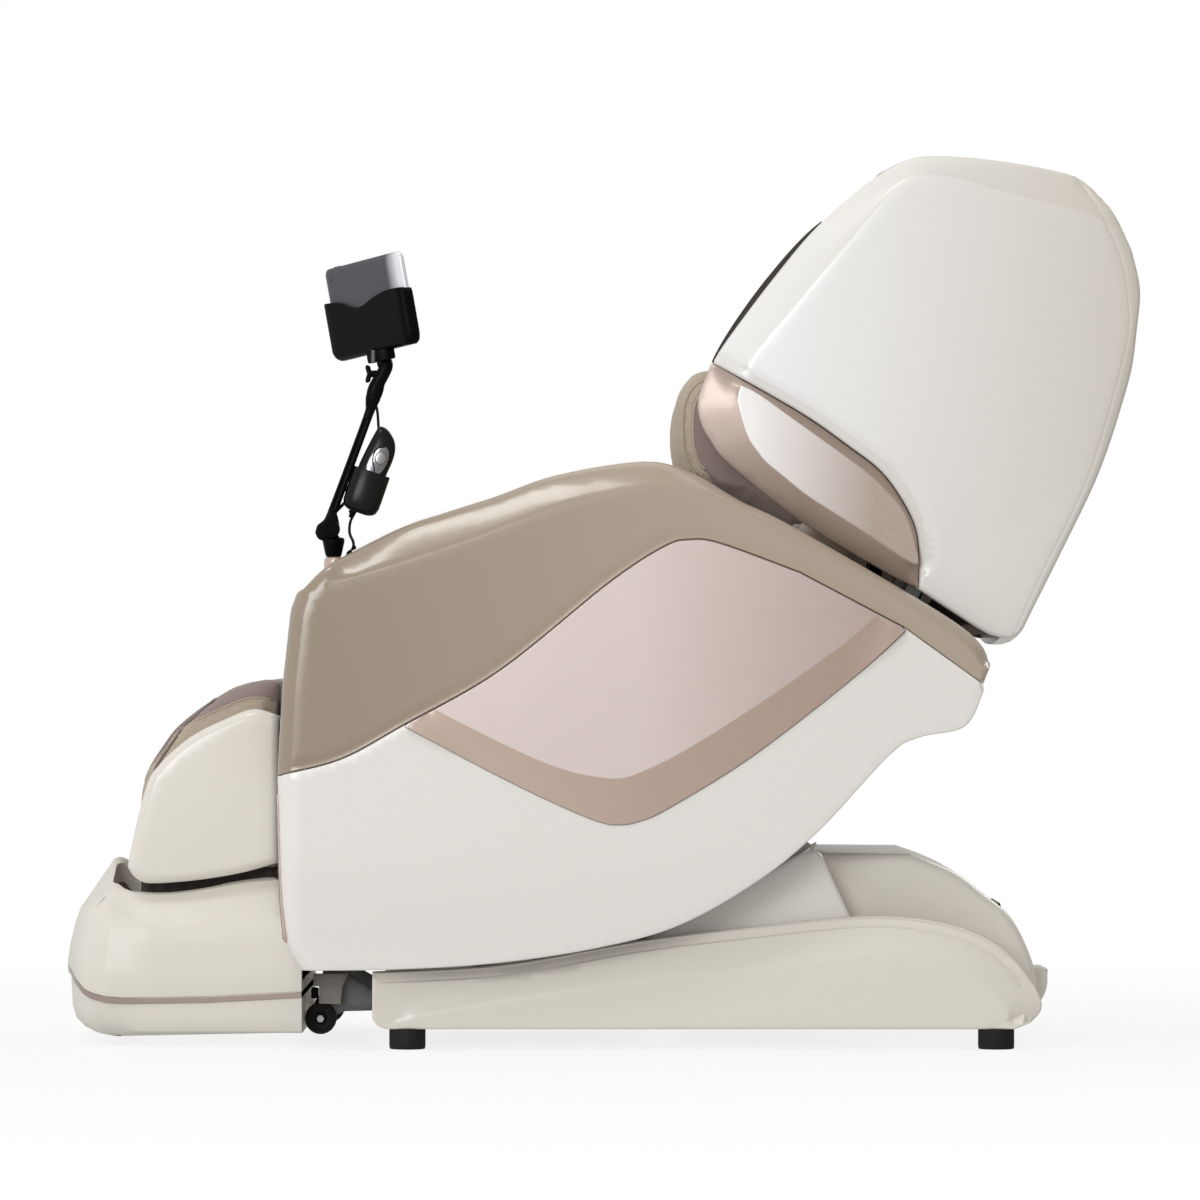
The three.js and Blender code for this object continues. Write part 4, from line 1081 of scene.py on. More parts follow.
def foot_ring(side_inset, front_inset, height, rear_inset=0.0):
    """The foot shell's plan moved inwards, at a height."""
    plan, ahead = foot_plan()
    by = side_inset * (1 - ahead) + front_inset * ahead
    tangent = np.roll(plan, -1, 0) - np.roll(plan, 1, 0)
    normal = columns(-tangent[:, 1], tangent[:, 0])
    moved = plan + by[:, None] * normal / np.linalg.norm(normal, axis=1)[:, None]
    rear = plan[:, 0] > FOOT_REAR - 9
    moved[rear] = columns(plan[rear, 0] - rear_inset, plan[rear, 1] * (FOOT_HALF - by[rear]) / FOOT_HALF)
    return columns(*moved.T, height)


def strip_height():
    """The height of the inlaid strip's middle, all round the plan."""
    plan, _ = foot_plan()
    across = np.abs(plan[:, 1])
    return np.where((across < 274) & (plan[:, 0] < -680), np.interp(across, *zip(*STRIP_FRONT)),
                    np.interp(plan[:, 0], *zip(*STRIP_SIDE)))


def foot_top(p):
    """The height of the foot shell's upper side at plan points, with its two wells."""
    plan, _ = foot_plan()
    d = distance(p, plan)
    ahead = ease(-p[:, 0], 630, 700)
    side = np.interp(d, *zip(*SIDE_RISE)) + 20 * ease(p[:, 0], -620, -450) * ease(d, 2, 30)
    front = np.interp(d, *zip(*FRONT_RISE))
    front = np.where(front > 189, 189 + (front - 189) * (1 - 0.45 * ease(np.abs(p[:, 1]), 30, 215)), front)
    rise = side * (1 - ahead) + front * ahead
    middle = 1 - ease(np.abs(p[:, 1]), 8, 30)
    rise = rise - 26 * middle * ease(p[:, 0], -700, -640) * (1 - ease(p[:, 0], -460, -428))
    for sign in (1, -1):
        well = well_outline(sign, 0)
        within = np.where(inside(p, well), distance(p, well), 0)
        rise = rise - (rise - WELL_FLOOR) * ease(within, 0, 9)
    return rise


def make_foot_shell():
    plan, ahead = foot_plan()
    strip = strip_height()

    def blend(side, front):
        return side * (1 - ahead) + front * ahead

    crease = blend(np.interp(plan[:, 0], *zip(*CREASE_SIDE)), 189)
    rings = [foot_ring(a, b, blend(side, front)) for a, b, side, front in FOOT_BASE]
    rings += [foot_ring(2.4, 4.4, strip - 5.2), foot_ring(1.6, 3.4, strip - 4.6),
              foot_ring(1.4, 3.2, strip + 4.2), foot_ring(0.4, 0.6, strip + 4.8), foot_ring(0, 0, strip + 6.5)]
    rings += [foot_ring(0.6, 4, strip + 0.4 * (crease - strip)),
              foot_ring(1.8, 11, strip + 0.75 * (crease - strip)), foot_ring(3, 18, crease),
              foot_ring(3.6, 19, crease + 1.4)]
    rim = foot_ring(30, 62, 0)
    rim[:, 2] = foot_top(rim[:, :2])
    for t in (0.06, 0.5, 0.97, 1):
        rings.append(rings[13] + t * (rim - rings[13]))
    inner = [foot_ring(34, 66, 0, 4), foot_ring(33, 64, 0, 4), foot_ring(8, 24, 0, 4)]
    heights = (rim[:, 2] - 8, crease + 2, blend(24, 30))
    rings += [columns(ring[:, 0], ring[:, 1], z) for ring, z in zip(inner, heights)]
    count = len(plan)
    points = np.vstack(rings)
    new_piece("foot_shell_wall", upright(points), banded(len(rings), count), [SHELL], "foot_section",
              ["foot_shell"], sharp=30)
    deck = foot_ring(29.4, 61.4, 0)[:, :2]

    def lined(middles, marks):
        return (inside(middles, well_outline(1, -1.5)) | inside(middles, well_outline(-1, -1.5))).astype(int)

    creases = [looped(loop) for sign in (1, -1) for loop in
               (well_outline(sign, 0), *(inset(well_outline(sign, 0), by) for by in (2, 4.5, 7, 9)),
                well_outline(sign, 4))]
    plate("foot_shell_deck", deck, lambda p, d: np.column_stack([p, foot_top(p) + 0.2]),
          lambda p, d: np.column_stack([p, foot_top(p) - 7]), "foot_section", [SHELL, BROWN_TRIM],
          rings=(2, 5, 10), creases=creases, spacing=11, sides=ONE, sharp=45, paint=lined)


def make_foot_strip():
    strip = strip_height()
    section = ((3, 5, -4.4), (0.9, 1.4, -4.4), (0.2, 0.4, -3.6), (0, 0, 3.4), (0.6, 0.9, 4.2), (3, 5, 4.2))
    rings = [foot_ring(a, b, strip + z) for a, b, z in section]
    new_piece("foot_strip_inlay", upright(np.vstack(rings)), banded(len(rings), len(strip), True), [BRONZE],
              "foot_section", ["foot_strip"])


def sheeted(face, back):
    """The points and faces of a thin closed sheet between two grids of points."""
    rows, columns = face.shape[:2]
    count = rows * columns

    def at(i, j):
        return i * columns + j

    faces = []
    for i in range(rows - 1):
        for j in range(columns - 1):
            quad = [at(i, j), at(i, j + 1), at(i + 1, j + 1), at(i + 1, j)]
            faces += [quad, [v + count for v in reversed(quad)]]
    edge = [*(at(0, j) for j in range(columns)), *(at(i, columns - 1) for i in range(1, rows)),
            *(at(rows - 1, j) for j in reversed(range(columns - 1))),
            *(at(i, 0) for i in reversed(range(1, rows - 1)))]
    faces += [[b, a, a + count, b + count] for a, b in zip(edge, edge[1:] + edge[:1])]
    return np.vstack([face.reshape(-1, 3), back.reshape(-1, 3)]), faces


def make_leg_skirt():
    """A pleated dark cloth below each side of the calf pad, which closes the gap above the foot section."""
    for side, sign in SIDES:
        x, z = np.meshgrid(np.arange(-644, -455, 2.0), np.linspace(196, 246, 9))
        fold = 1.8 * np.sin(x / 3.4) * (0.4 + 0.6 * (246 - z) / 50)
        face = np.stack([x, sign * (222 + fold), z], 2)
        points, faces = sheeted(face, face - np.array((0, sign * 1.2, 0)))
        skirt = new_piece(f"leg_skirt_{side}", upright(points), faces, [LINING], "legrest",
                          sharp=0)


def make_seat_back_flaps():
    """Two stitched panels curved round the recline pivot, one on the seat and one on the backrest."""
    for name, radius, start, end, body in (("seat_rear_flap", 104, 139, 184, "seat"),
                                           ("back_lower_flap", 98, 141, 206, "backrest")):
        angle, y = np.meshgrid(np.radians(np.arange(start, end + 1, 1.5)), np.linspace(-196, 196, 60))
        rib = 0.9 * np.cos((angle - math.radians(start)) * 18) * (1 - ease(np.abs(y), 180, 196))
        face, back = (np.stack([RECLINE[0] + (radius + rib + by) * np.cos(angle), y,
                                RECLINE[1] + (radius + rib + by) * np.sin(angle)], 2) for by in (0, -1.6))
        points, faces = sheeted(face, back)
        flap = new_piece(name, upright(points), faces, [BROWN], body, sharp=50)


make_rails()
make_rear_cover()
make_side_panels()
make_arm_covers()
make_arm_trims()
make_rose_panels()
make_front_vents()
make_hood_sides()
make_hood_lining()
make_wings()
make_hood_back()
make_calf_shells()
make_foot_shell()
make_foot_strip()
make_leg_skirt()
make_seat_back_flaps()

# ---- soft goods ----
def coordinates(piece):
    co = np.zeros(len(piece.data.vertices) * 3, np.float32)
    piece.data.vertices.foreach_get("co", co)
    return co.reshape(-1, 3).astype(float)


def set_coordinates(piece, co):
    piece.data.vertices.foreach_set("co", np.asarray(co, np.float32).ravel())
    piece.data.update()


def normals(piece):
    n = np.zeros(len(piece.data.vertices) * 3, np.float32)
    piece.data.vertex_normals.foreach_get("vector", n)
    return n.reshape(-1, 3).astype(float)


def applied(piece):
    """The piece's modifiers become its mesh."""
    graph = bpy.context.evaluated_depsgraph_get()
    mesh = bpy.data.meshes.new_from_object(piece.evaluated_get(graph))
    old = piece.data
    piece.modifiers.clear()
    piece.data = mesh
    bpy.data.meshes.remove(old)


def inflate(piece, voxel, cap):
    """Swells a closed form as filling swells a cover: an even remesh, cloth under pressure, a limit on how far
    a point may move, and one subdivision."""
    remesh = piece.modifiers.new("even", "REMESH")
    remesh.mode, remesh.voxel_size = "VOXEL", voxel * MM
    applied(piece)
    start = coordinates(piece)
    cloth = piece.modifiers.new("cloth", "CLOTH")
    cloth.settings.effector_weights.gravity = 0
    cloth.settings.use_pressure = True
    cloth.settings.uniform_pressure_force = 4
    cloth.settings.tension_stiffness = cloth.settings.compression_stiffness = 20
    cloth.settings.quality = 4
    cloth.collision_settings.use_collision = False
    cloth.point_cache.frame_start, cloth.point_cache.frame_end = 1, 20
    for step in range(1, 21):
        bpy.context.scene.frame_set(step)
    applied(piece)
    moved = coordinates(piece) - start
    length = np.linalg.norm(moved, axis=1)[:, None].clip(1e-9)
    set_coordinates(piece, start + moved * np.minimum(1, cap * MM / length))
    bpy.context.scene.frame_set(1)
    relax = piece.modifiers.new("relax", "SMOOTH")
    relax.factor, relax.iterations = 0.5, 6
    fine = piece.modifiers.new("fine", "SUBSURF")
    fine.levels = fine.render_levels = 1
    applied(piece)


def block_of(outline, y0, y1, r, spacing=14):
    """Points and faces of a closed form with rounded edges, from a side outline and two widths."""
    points, faces = filled(outline, (0.134 * r, 0.5 * r, r), (), spacing)
    d = distance(points, turned(np.asarray(outline, float)))
    drop = edge_drop(d, r)
    outer = columns(points[:, 0], y1 - drop, points[:, 1])
    inner = columns(points[:, 0], y0 + drop, points[:, 1])
    solid, all_faces, _ = closed_skins(points, faces, outer, inner)
    return solid, all_faces


def soft(name, form, voxel, cap, shape, paint, looks, body, nodes, limits=None, place=upright,
         sides=ONE, trims=(), slot=None):
    """A padded piece: a closed form swollen by cloth, then given its seams and channels by shape(points,
    normals). trims are functions that add piping and stitches on the finished surface."""
    points, faces = form
    work = new_piece(f"{name}_form", points * MM, faces, [], None, sharp=0)
    inflate(work, voxel, cap)
    co = coordinates(work) / MM
    co = shape(co, normals(work))
    if limits is not None:
        co = np.clip(co, *limits)
    polygons = [list(p.vertices) for p in work.data.polygons]
    middles = np.array([co[p].mean(0) for p in polygons])
    index = paint(middles)
    tree = BVHTree.FromPolygons([tuple(c) for c in co], polygons)
    bpy.data.objects.remove(work)
    for side in sides:
        mirror = np.array([1, -1 if side == "left" else 1, 1])
        title = name if len(sides) == 1 else f"{name}_{side}"
        stands_for = nodes if len(sides) == 1 else [f"{node}_{side}" for node in nodes]
        piece = new_piece(title, place(co * mirror), polygons, looks, body, stands_for, index, 0, slot)
        for number, trim in enumerate(trims):
            sewn, faces, look = trim(tree)
            new_piece(f"{title}_trim_{number + 1}", place(sewn * mirror), faces, [look], body,
                      slot="tan_leather")


def on_surface(tree, points, direction, lift=0.0):
    """The points carried along a direction onto the surface, in millimetres; points that miss are left out."""
    found = []
    way = Vector(direction).normalized()
    for point in points:
        hit, *_ = tree.ray_cast(Vector(point) - way * 400, way)
        if hit is not None:
            found.append(hit - way * lift)
    return np.array([tuple(f) for f in found])


def evened(path, step):
    """A path's points, evenly spaced."""
    gaps = np.linalg.norm(np.diff(path, axis=0), axis=1)
    along = np.concatenate([[0], np.cumsum(gaps)])
    at = np.arange(0, along[-1], step)
    return np.stack([np.interp(at, along, path[:, k]) for k in range(3)], 1)


def piping(points, direction, radius=2.6, look=TAN, lift=0.4):
    """A cord sewn along a seam."""
    def make(tree):
        path = evened(on_surface(tree, points, direction, lift), 5)
        for _ in range(2):
            path[1:-1] = (path[:-2] + 2 * path[1:-1] + path[2:]) / 4
        return *tube(path, radius, 8), look
    return make


def rows_at(ys, x, z, signs=(1, -1)):
    """Rows of points at some distances from the middle, on both sides of it."""
    return [columns(x, s * y, z) for s in signs for y in ys]


def stitching(rows, direction, pitch=7.0, length=4.6, radius=0.75):
    """Rows of short raised threads, each a small spindle laid along its row."""
    def make(tree):
        threads = []
        for row in rows:
            path = evened(on_surface(tree, row, direction, 0.3), pitch)
            along = np.gradient(path, axis=0)
            along /= np.linalg.norm(along, axis=1)[:, None].clip(1e-9)
            for middle, way in zip(path, along):
                spine = np.array([middle + way * t * length / 2 for t in (-1, -0.55, 0, 0.55, 1)])
                threads.append(tube(spine, radius * np.array([0.25, 0.85, 1, 0.85, 0.25]), 5))
        return *merged(threads), THREAD
    return make


def grooved(co, n, at, depth, width, mask=None):
    """Sinks the surface along its normals, deepest where at is 0."""
    sink = depth * np.exp(-(at / width) ** 2)
    if mask is not None:
        sink = sink * mask
    return co - n * sink[:, None]


CUSHION = [(-392, 347.5), (188, 347.5), (190, 400), (180, 440), (150, 450), (0, 446), (-250, 462), (-350, 478),
           (-385, 472), (-398, 440), (-396, 390)]
CUSHION_HALF = 258
SEAT_SEAM = 172
SEAT_CHANNELS = (-290, -195, -100, -5)


def make_seat_cushion():
    outline = chain(lines(CUSHION[:2], 14), smooth(CUSHION[2:], 14))
    outline = inset(outline, 4)

    def shape(co, n):
        up = ease(n[:, 2], 0.2, 0.6)
        centre = 1 - ease(np.abs(co[:, 1]), SEAT_SEAM - 12, SEAT_SEAM)
        co = co + n * (7 * np.cos(np.clip(co[:, 1] / SEAT_SEAM, -1, 1) * math.pi / 2) * up)[:, None]
        for x in SEAT_CHANNELS:
            co = grooved(co, n, co[:, 0] - x + 10 * (co[:, 1] / 170) ** 2, 8, 9, up * centre)
        ahead = ease(-n[:, 0], 0.2, 0.6) * (co[:, 0] < -300)
        return grooved(co, n, np.abs(co[:, 1]) - SEAT_SEAM, 6, 5, np.maximum(up, ahead))

    def paint(middles):
        return (np.abs(middles[:, 1]) > SEAT_SEAM).astype(int)

    rows = rows_at((180, 186), np.linspace(-380, 150, 160), 460)
    soft("seat_cushion_soft", block_of(outline, -CUSHION_HALF + 4, CUSHION_HALF - 4, 22), 8, 14, shape, paint,
         [MAUVE, TAN], "seat", ["seat_cushion"], ((-399, -CUSHION_HALF, 346.6), (191, CUSHION_HALF, 482)),
         trims=[stitching(rows, (0, 0, -1))])


BACK_PAD = [(-72, 34), (-110, 26), (-150, 50), (-158, 180), (-140, 330), (-150, 480), (-160, 640), (-140, 690),
            (-90, 700), (-72, 690)]
BACK_SEAM = 122
BACK_CHANNELS = (120, 205, 290, 375, 460)


def make_back_pad():
    outline = inset(shut(BACK_PAD[1:9], 14, (BACK_PAD[9], BACK_PAD[0])), 4)

    def shape(co, n):
        ahead = ease(-n[:, 0], 0.2, 0.6)
        centre = 1 - ease(np.abs(co[:, 1]), BACK_SEAM - 10, BACK_SEAM)
        co = co + n * (6 * np.cos(np.clip(co[:, 1] / BACK_SEAM, -1, 1) * math.pi / 2) * ahead)[:, None]
        for v in BACK_CHANNELS:
            co = grooved(co, n, co[:, 2] - v - 16 * (co[:, 1] / 120) ** 2, 8, 9, ahead * centre)
        return grooved(co, n, np.abs(co[:, 1]) - BACK_SEAM, 6, 5, ahead)

    rows = rows_at((130, 136), -160, np.linspace(50, 690, 200))
    soft("back_pad_soft", block_of(outline, -200, 200, 24), 8, 14, shape,
         lambda m: (np.abs(m[:, 1]) > BACK_SEAM).astype(int), [MAUVE, TAN], "backrest", ["back_pad"],
         ((-172, -204, 24), (-71, 204, 702)), leaned, trims=[stitching(rows, (1, 0, 0))])


PILLOW = [(-164, 520), (-185, 500), (-212, 540), (-220, 600), (-205, 665), (-180, 690), (-166, 670)]
PILLOW_SEAM = 92


def make_pillow():
    outline = inset(shut(PILLOW, 12), 3)

    def shape(co, n):
        ahead = ease(-n[:, 0], 0.15, 0.5)
        co = grooved(co, n, np.abs(co[:, 1]) - PILLOW_SEAM, 5, 5, ahead)
        return grooved(co, n, co[:, 2] - 596 - 20 * (co[:, 1] / 150) ** 2, 4, 10, ahead)

    rows = rows_at((99, 105), -225, np.linspace(515, 680, 90))
    soft("head_pillow_soft", block_of(outline, -146, 146, 18, 10), 6, 12, shape,
         lambda m: (np.abs(m[:, 1]) > PILLOW_SEAM).astype(int), [MAUVE, TAN], "backrest", ["head_pillow"],
         ((-226, -152, 496), (-163, 152, 696)), leaned, trims=[stitching(rows, (1, 0, 0))])


BOLSTER_FRONT = [(-372, 386), (-392, 366), (-397, 330), (-386, 296), (-366, 260), (-341, 234), (-319, 224)]
BOLSTER_BACK = [(-160, 240), (-120, 300), (-120, 400), (-200, 410)]


def make_bolsters():
    front = smooth(BOLSTER_FRONT, 10)
    whole = shut(BOLSTER_FRONT, 10, BOLSTER_BACK)
    outline = inset(whole, 2)

    def from_front(co):
        return distance(co[:, [0, 2]], front, False)

    def shape(co, n):
        outside = ease(np.abs(n[:, 1]), 0.3, 0.8)
        co = grooved(co, n, from_front(co) - 17, 2.6, 2.4, outside)
        return grooved(co, n, from_front(co) - 31, 2.2, 2.2, outside)

    runs = []
    for by in (17, 22, 26, 31):
        seam = inset(whole, by)
        run = seam[(distance(seam, front, False) < by + 3) & (seam[:, 0] < -300) & (seam[:, 1] < 385)]
        run = columns(run[:, 0], 300.0, run[:, 1])
        runs.append(run[np.argsort(-run[:, 2])])
    soft("shoulder_bolster_soft", block_of(outline, 209, 281, 16, 10), 5, 8, shape,
         lambda m: (from_front(m) > 31).astype(int), [TAN, MAUVE], "backrest", ["shoulder_bolster"],
         ((-400, 205.5, 222), (-118, 284.4, 412)), leaned, PAIR,
         [piping(runs[0], (0, -1, 0), 2.4), stitching(runs[1:3], (0, -1, 0), 6, 4),
          piping(runs[3], (0, -1, 0), 1.8)], slot="mauve_leather")


def make_arm_pads():
    top = crest[(crest[:, 0] > -405) & (crest[:, 0] < 82)]
    top = top + columns(0, 6.5 * ease(top[:, 0], -352, -300) * (1 - ease(top[:, 0], -60, 40)) - 3)
    outline = chain(lines([(84, 790), (84, 602), (-400, 602), (-401, 642)], 12), top)
    outline = inset(outline, 2)

    def shape(co, n):
        up = ease(n[:, 2], 0.2, 0.6)
        co = grooved(co, n, co[:, 1] - 300, 3.2, 3.2, up)
        return grooved(co, n, co[:, 0] + 290, 3.6, 4, up)

    rows = rows_at((293, 307), np.linspace(-280, 70, 150), 700, (1,))
    soft("arm_pad_soft", block_of(outline, 270, 349, 14, 11), 6, 8, shape, lambda m: np.zeros(len(m), int),
         [TAN], "seat", ["arm_pad"], ((-402.5, 266, 600.5), (84, 351, 812)), upright, PAIR,
         [stitching(rows, (0, 0, -1))])
    hip = chain(lines([(-378, 347.5), (200, 347.5), (200, 480), (84, 597), (-378, 597)], 12),
                lines([(-378, 597), (-378, 347.5)], 12)[1:-1])

    def hip_shape(co, n):
        inward = ease(-n[:, 1], 0.2, 0.6)
        for x in (-300, -180, -60, 60):
            co = grooved(co, n, co[:, 0] - x, 7, 9, inward)
        return grooved(co, n, co[:, 2] - 560, 4, 4, inward)

    soft("hip_pad_soft", block_of(inset(hip, 3), 270, 347, 18, 13), 8, 8, hip_shape,
         lambda m: (m[:, 2] > 560).astype(int), [MAUVE, TAN], "seat", ["hip_pad"],
         ((-379, 264, 346.6), (201, 350, 599.5)), upright, PAIR)


CALF_FRONT = [(240, -628), (262, -648), (310, -649), (357, -646), (389, -636), (443, -599), (484, -552),
              (503, -522), (511, -498), (516, -474), (518, -456)]
CALF_CHANNEL = (42, 196, -500)


def make_calf_pad():
    half = 235
    outline = rounded_box(-half, half, 243, 516, 8, 4)
    shell_line = smooth(CALF[:7])

    def front(z):
        return np.interp(z, *zip(*CALF_FRONT))

    points, faces = filled(outline, (1, 3, 7, 12), [lines([(s * y, 250), (s * y, 510)], 12)
                                                   for s in (1, -1) for y in (36, 44, 56, 180, 194, 202)], 12)
    d = distance(points, turned(outline))
    within = ease(np.abs(points[:, 0]), 38, 62) * (1 - ease(np.abs(points[:, 0]), 176, 200))
    face = front(points[:, 1])
    depth = np.maximum(face, face + (CALF_CHANNEL[2] - face) * within)
    outer = columns(np.minimum(depth + 1.2 * edge_drop(d, 10), -462), points[:, 0], points[:, 1])
    inner = columns(-455.0, points[:, 0], points[:, 1])
    solid, all_faces, _ = closed_skins(points, faces, outer, inner)

    def shape(co, n):
        across = np.abs(co[:, 1])
        ahead = ease(-n[:, 0], 0.1, 0.5)
        for z in (300, 350, 400, 450):
            co = grooved(co, n, co[:, 2] - z, 4, 7, (across > 60) * (across < 178) * ahead)
        rim = co[:, 0] - front(co[:, 2])
        return grooved(co, n, rim - 14, 2.4, 2.4, (across > 215) * 1.0)

    def paint(m):
        rim = m[:, 0] - front(m[:, 2])
        across = np.abs(m[:, 1])
        side = (across > 220) & (rim > 14)
        edged = side & (distance(m[:, [0, 2]], shell_line, False) < 16)
        channel = (across > 50) & (across < 190) & (rim > 20)
        return np.where(edged | ((across > 224) & ~side), 2, np.where(side | channel, 1, 0))

    z = np.linspace(262, 505, 120)
    rim_run = rows_at((300,), front(z) + 14, z)[0]
    heading = np.gradient(shell_line, axis=0)
    away = columns(heading[:, 1], -heading[:, 0]) / np.linalg.norm(heading, axis=1)[:, None]
    edge_run, sewn_run = (np.insert(shell_line + by * away, 1, 300.0, 1)[3:-10] for by in (16, 12.5))
    runs = rows_at((206, 212), front(z) - 4, z)
    soft("calf_pad_soft", (solid, all_faces), 7, 8, shape, paint, [BROWN, MAUVE, TAN], "legrest", ["calf_pad"],
         ((-652, -235.6, 240), (-451, 235.6, 518)),
         trims=[piping(rim_run, (0, -1, 0), 2.2, BROWN), piping(rim_run * (1, -1, 1), (0, 1, 0), 2.2, BROWN),
                piping(edge_run, (0, -1, 0), 1.3, TAN), piping(edge_run * (1, -1, 1), (0, 1, 0), 1.3, TAN),
                stitching([sewn_run], (0, -1, 0)), stitching([sewn_run * (1, -1, 1)], (0, 1, 0)),
                stitching(runs, (1, 0, 0))])


def make_sole_pads():
    for side, sign in SIDES:
        outline = well_outline(sign, -0.6)
        rings = (1, 4, 8, 13, 18, 22)
        bumps = [(-520 - 34 * i, sign * (95 + 42 * j)) for i in range(5) for j in range(3)]

        def top(p, d):
            rise = 150 - 86 * ease(d, 3, 20)
            for x, y in bumps:
                away = (p[:, 0] - x) ** 2 + (p[:, 1] - y) ** 2
                rise = rise + 6 * np.exp(-away / 110)
            return rise - 2.5 * edge_drop(d, 3)

        points, faces = filled(outline, rings, (), 7)
        d = distance(points, turned(outline))
        outer = columns(points[:, 0], points[:, 1], top(points, d))
        inner = columns(points[:, 0], points[:, 1], WELL_FLOOR + GAP)
        solid, all_faces, _ = closed_skins(points, faces, outer, inner)
        pad = new_piece(f"sole_pad_soft_{side}", upright(solid), all_faces, [BROWN], "foot_section",
                        [f"sole_pad_{side}"], sharp=60)


LEAD = [(-315, -312, 889), (-313, -305, 878), (-312, -301, 864), (-312, -300.5, 846), (-318, -301, 815),
        (-331, -301, 775), (-342, -302, 744), (-350, -309, 727), (-351, -318, 711), (-346, -322, 699),
        (-345, -322, 689)]


def make_lead():
    route = upright(smooth(LEAD, 4))
    points, faces = tube(route, 2 * MM, 10)
    lead = new_piece("tablet_lead_cord", points, faces, [RUBBER], None, ["tablet_lead"])
    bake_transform(lead)


make_lead()
make_seat_cushion()
make_back_pad()
make_pillow()
make_bolsters()
make_arm_pads()
make_calf_pad()
make_sole_pads()

# ---- remote holder on the left arm ----
def turn(degrees, axis):
    return Matrix.Rotation(math.radians(degrees), 3, axis)


HAND = (-337.6, HOLDER_Y, 743.3)
HAND_LEAN = math.radians(19)
ELBOW = (-376, HOLDER_Y, 716)
HEAD = (-305, HOLDER_Y, 946)
TABLET_TURN = turn(-54, "Z") @ turn(8, "X") @ turn(-6, "Y")
TABLET_HALF = 94
TABLET_GRIP = (10, -3, -53)  # where the head holds the tablet, from the tablet's own middle
SQUARENESS = 2.5  # of the holder's and the handset's rounded sections: 2 is an ellipse


def beside_arm(p):
    """From the handset's own place, upright in its cup, to the frame."""
    return leaning(p, HAND, HAND_LEAN)


def on_head(p):
    """From the tablet's own place to the frame."""
    return upright(np.array(HEAD) + (p - np.array(TABLET_GRIP)) @ np.array(TABLET_TURN).T)


def loft(stations, y=0.0, steps=32, across=None):
    """Points and faces of a form with rounded sections. Each station is [x, z, half width, half depth]; the
    sections stand square to the path, or all the same way when across is given."""
    stations = np.asarray(stations, float)
    along = np.gradient(stations[:, :2], axis=0)
    along /= np.linalg.norm(along, axis=1)[:, None].clip(1e-9)
    angle = 2 * math.pi * np.arange(steps) / steps
    c, s = (np.sign(f) * np.abs(f) ** (2 / SQUARENESS) for f in (np.cos(angle), np.sin(angle)))
    rings = []
    for (x, z, a, b), (ax, az) in zip(stations, along):
        wide = across or (az, -ax)
        rings.append(columns(x + a * c * wide[0], y + b * s, z + a * c * wide[1]))
    return np.vstack(rings), banded(len(rings), steps)


def lathe(profile, centre, axis="Z", steps=48, ring=False):
    """Points and faces of a turned form. Each row of the profile is [radius, height along the axis]."""
    angle = 2 * math.pi * np.arange(steps) / steps
    rows = []
    for radius, height in profile:
        a, b = radius * np.cos(angle), radius * np.sin(angle)
        rows.append(columns(*{"X": (height, a, b), "Y": (a, height, b), "Z": (a, b, height)}[axis]))
    return np.array(centre, float) + np.vstack(rows), banded(len(rows), steps, ring)


def turned_piece(name, profile, centre, axis, look, body, nodes=(), steps=48, ring=False, place=upright):
    points, faces = lathe(profile, centre, axis, steps, ring)
    return new_piece(name, place(points), faces, [look], body, nodes)


BAR = [(-381, 722, 6, 6), (-376.5, 734, 6.6, 7), (-366, 762, 6.4, 7), (-340, 832, 6.2, 7),
       (-324, 876, 6.4, 7.4), (-321, 887, 8.2, 9), (-318.5, 897, 10.4, 10.6), (-314.5, 910, 11, 11),
       (-311, 919, 9.6, 10.4), (-305, 930, 9.4, 10.6), (-300.5, 940, 9.2, 10.4), (-299, 948, 7.4, 8.6),
       (-298.6, 953, 3.6, 4.4), (-298.6, 955, 0.8, 1)]
FORK = [(-398, 711), (-394, 703), (-386, 700), (-376, 704), (-368, 707.5), (-365, 716), (-366.5, 730),
        (-371, 741), (-379, 742), (-386, 729), (-395, 721), (-398, 711)]


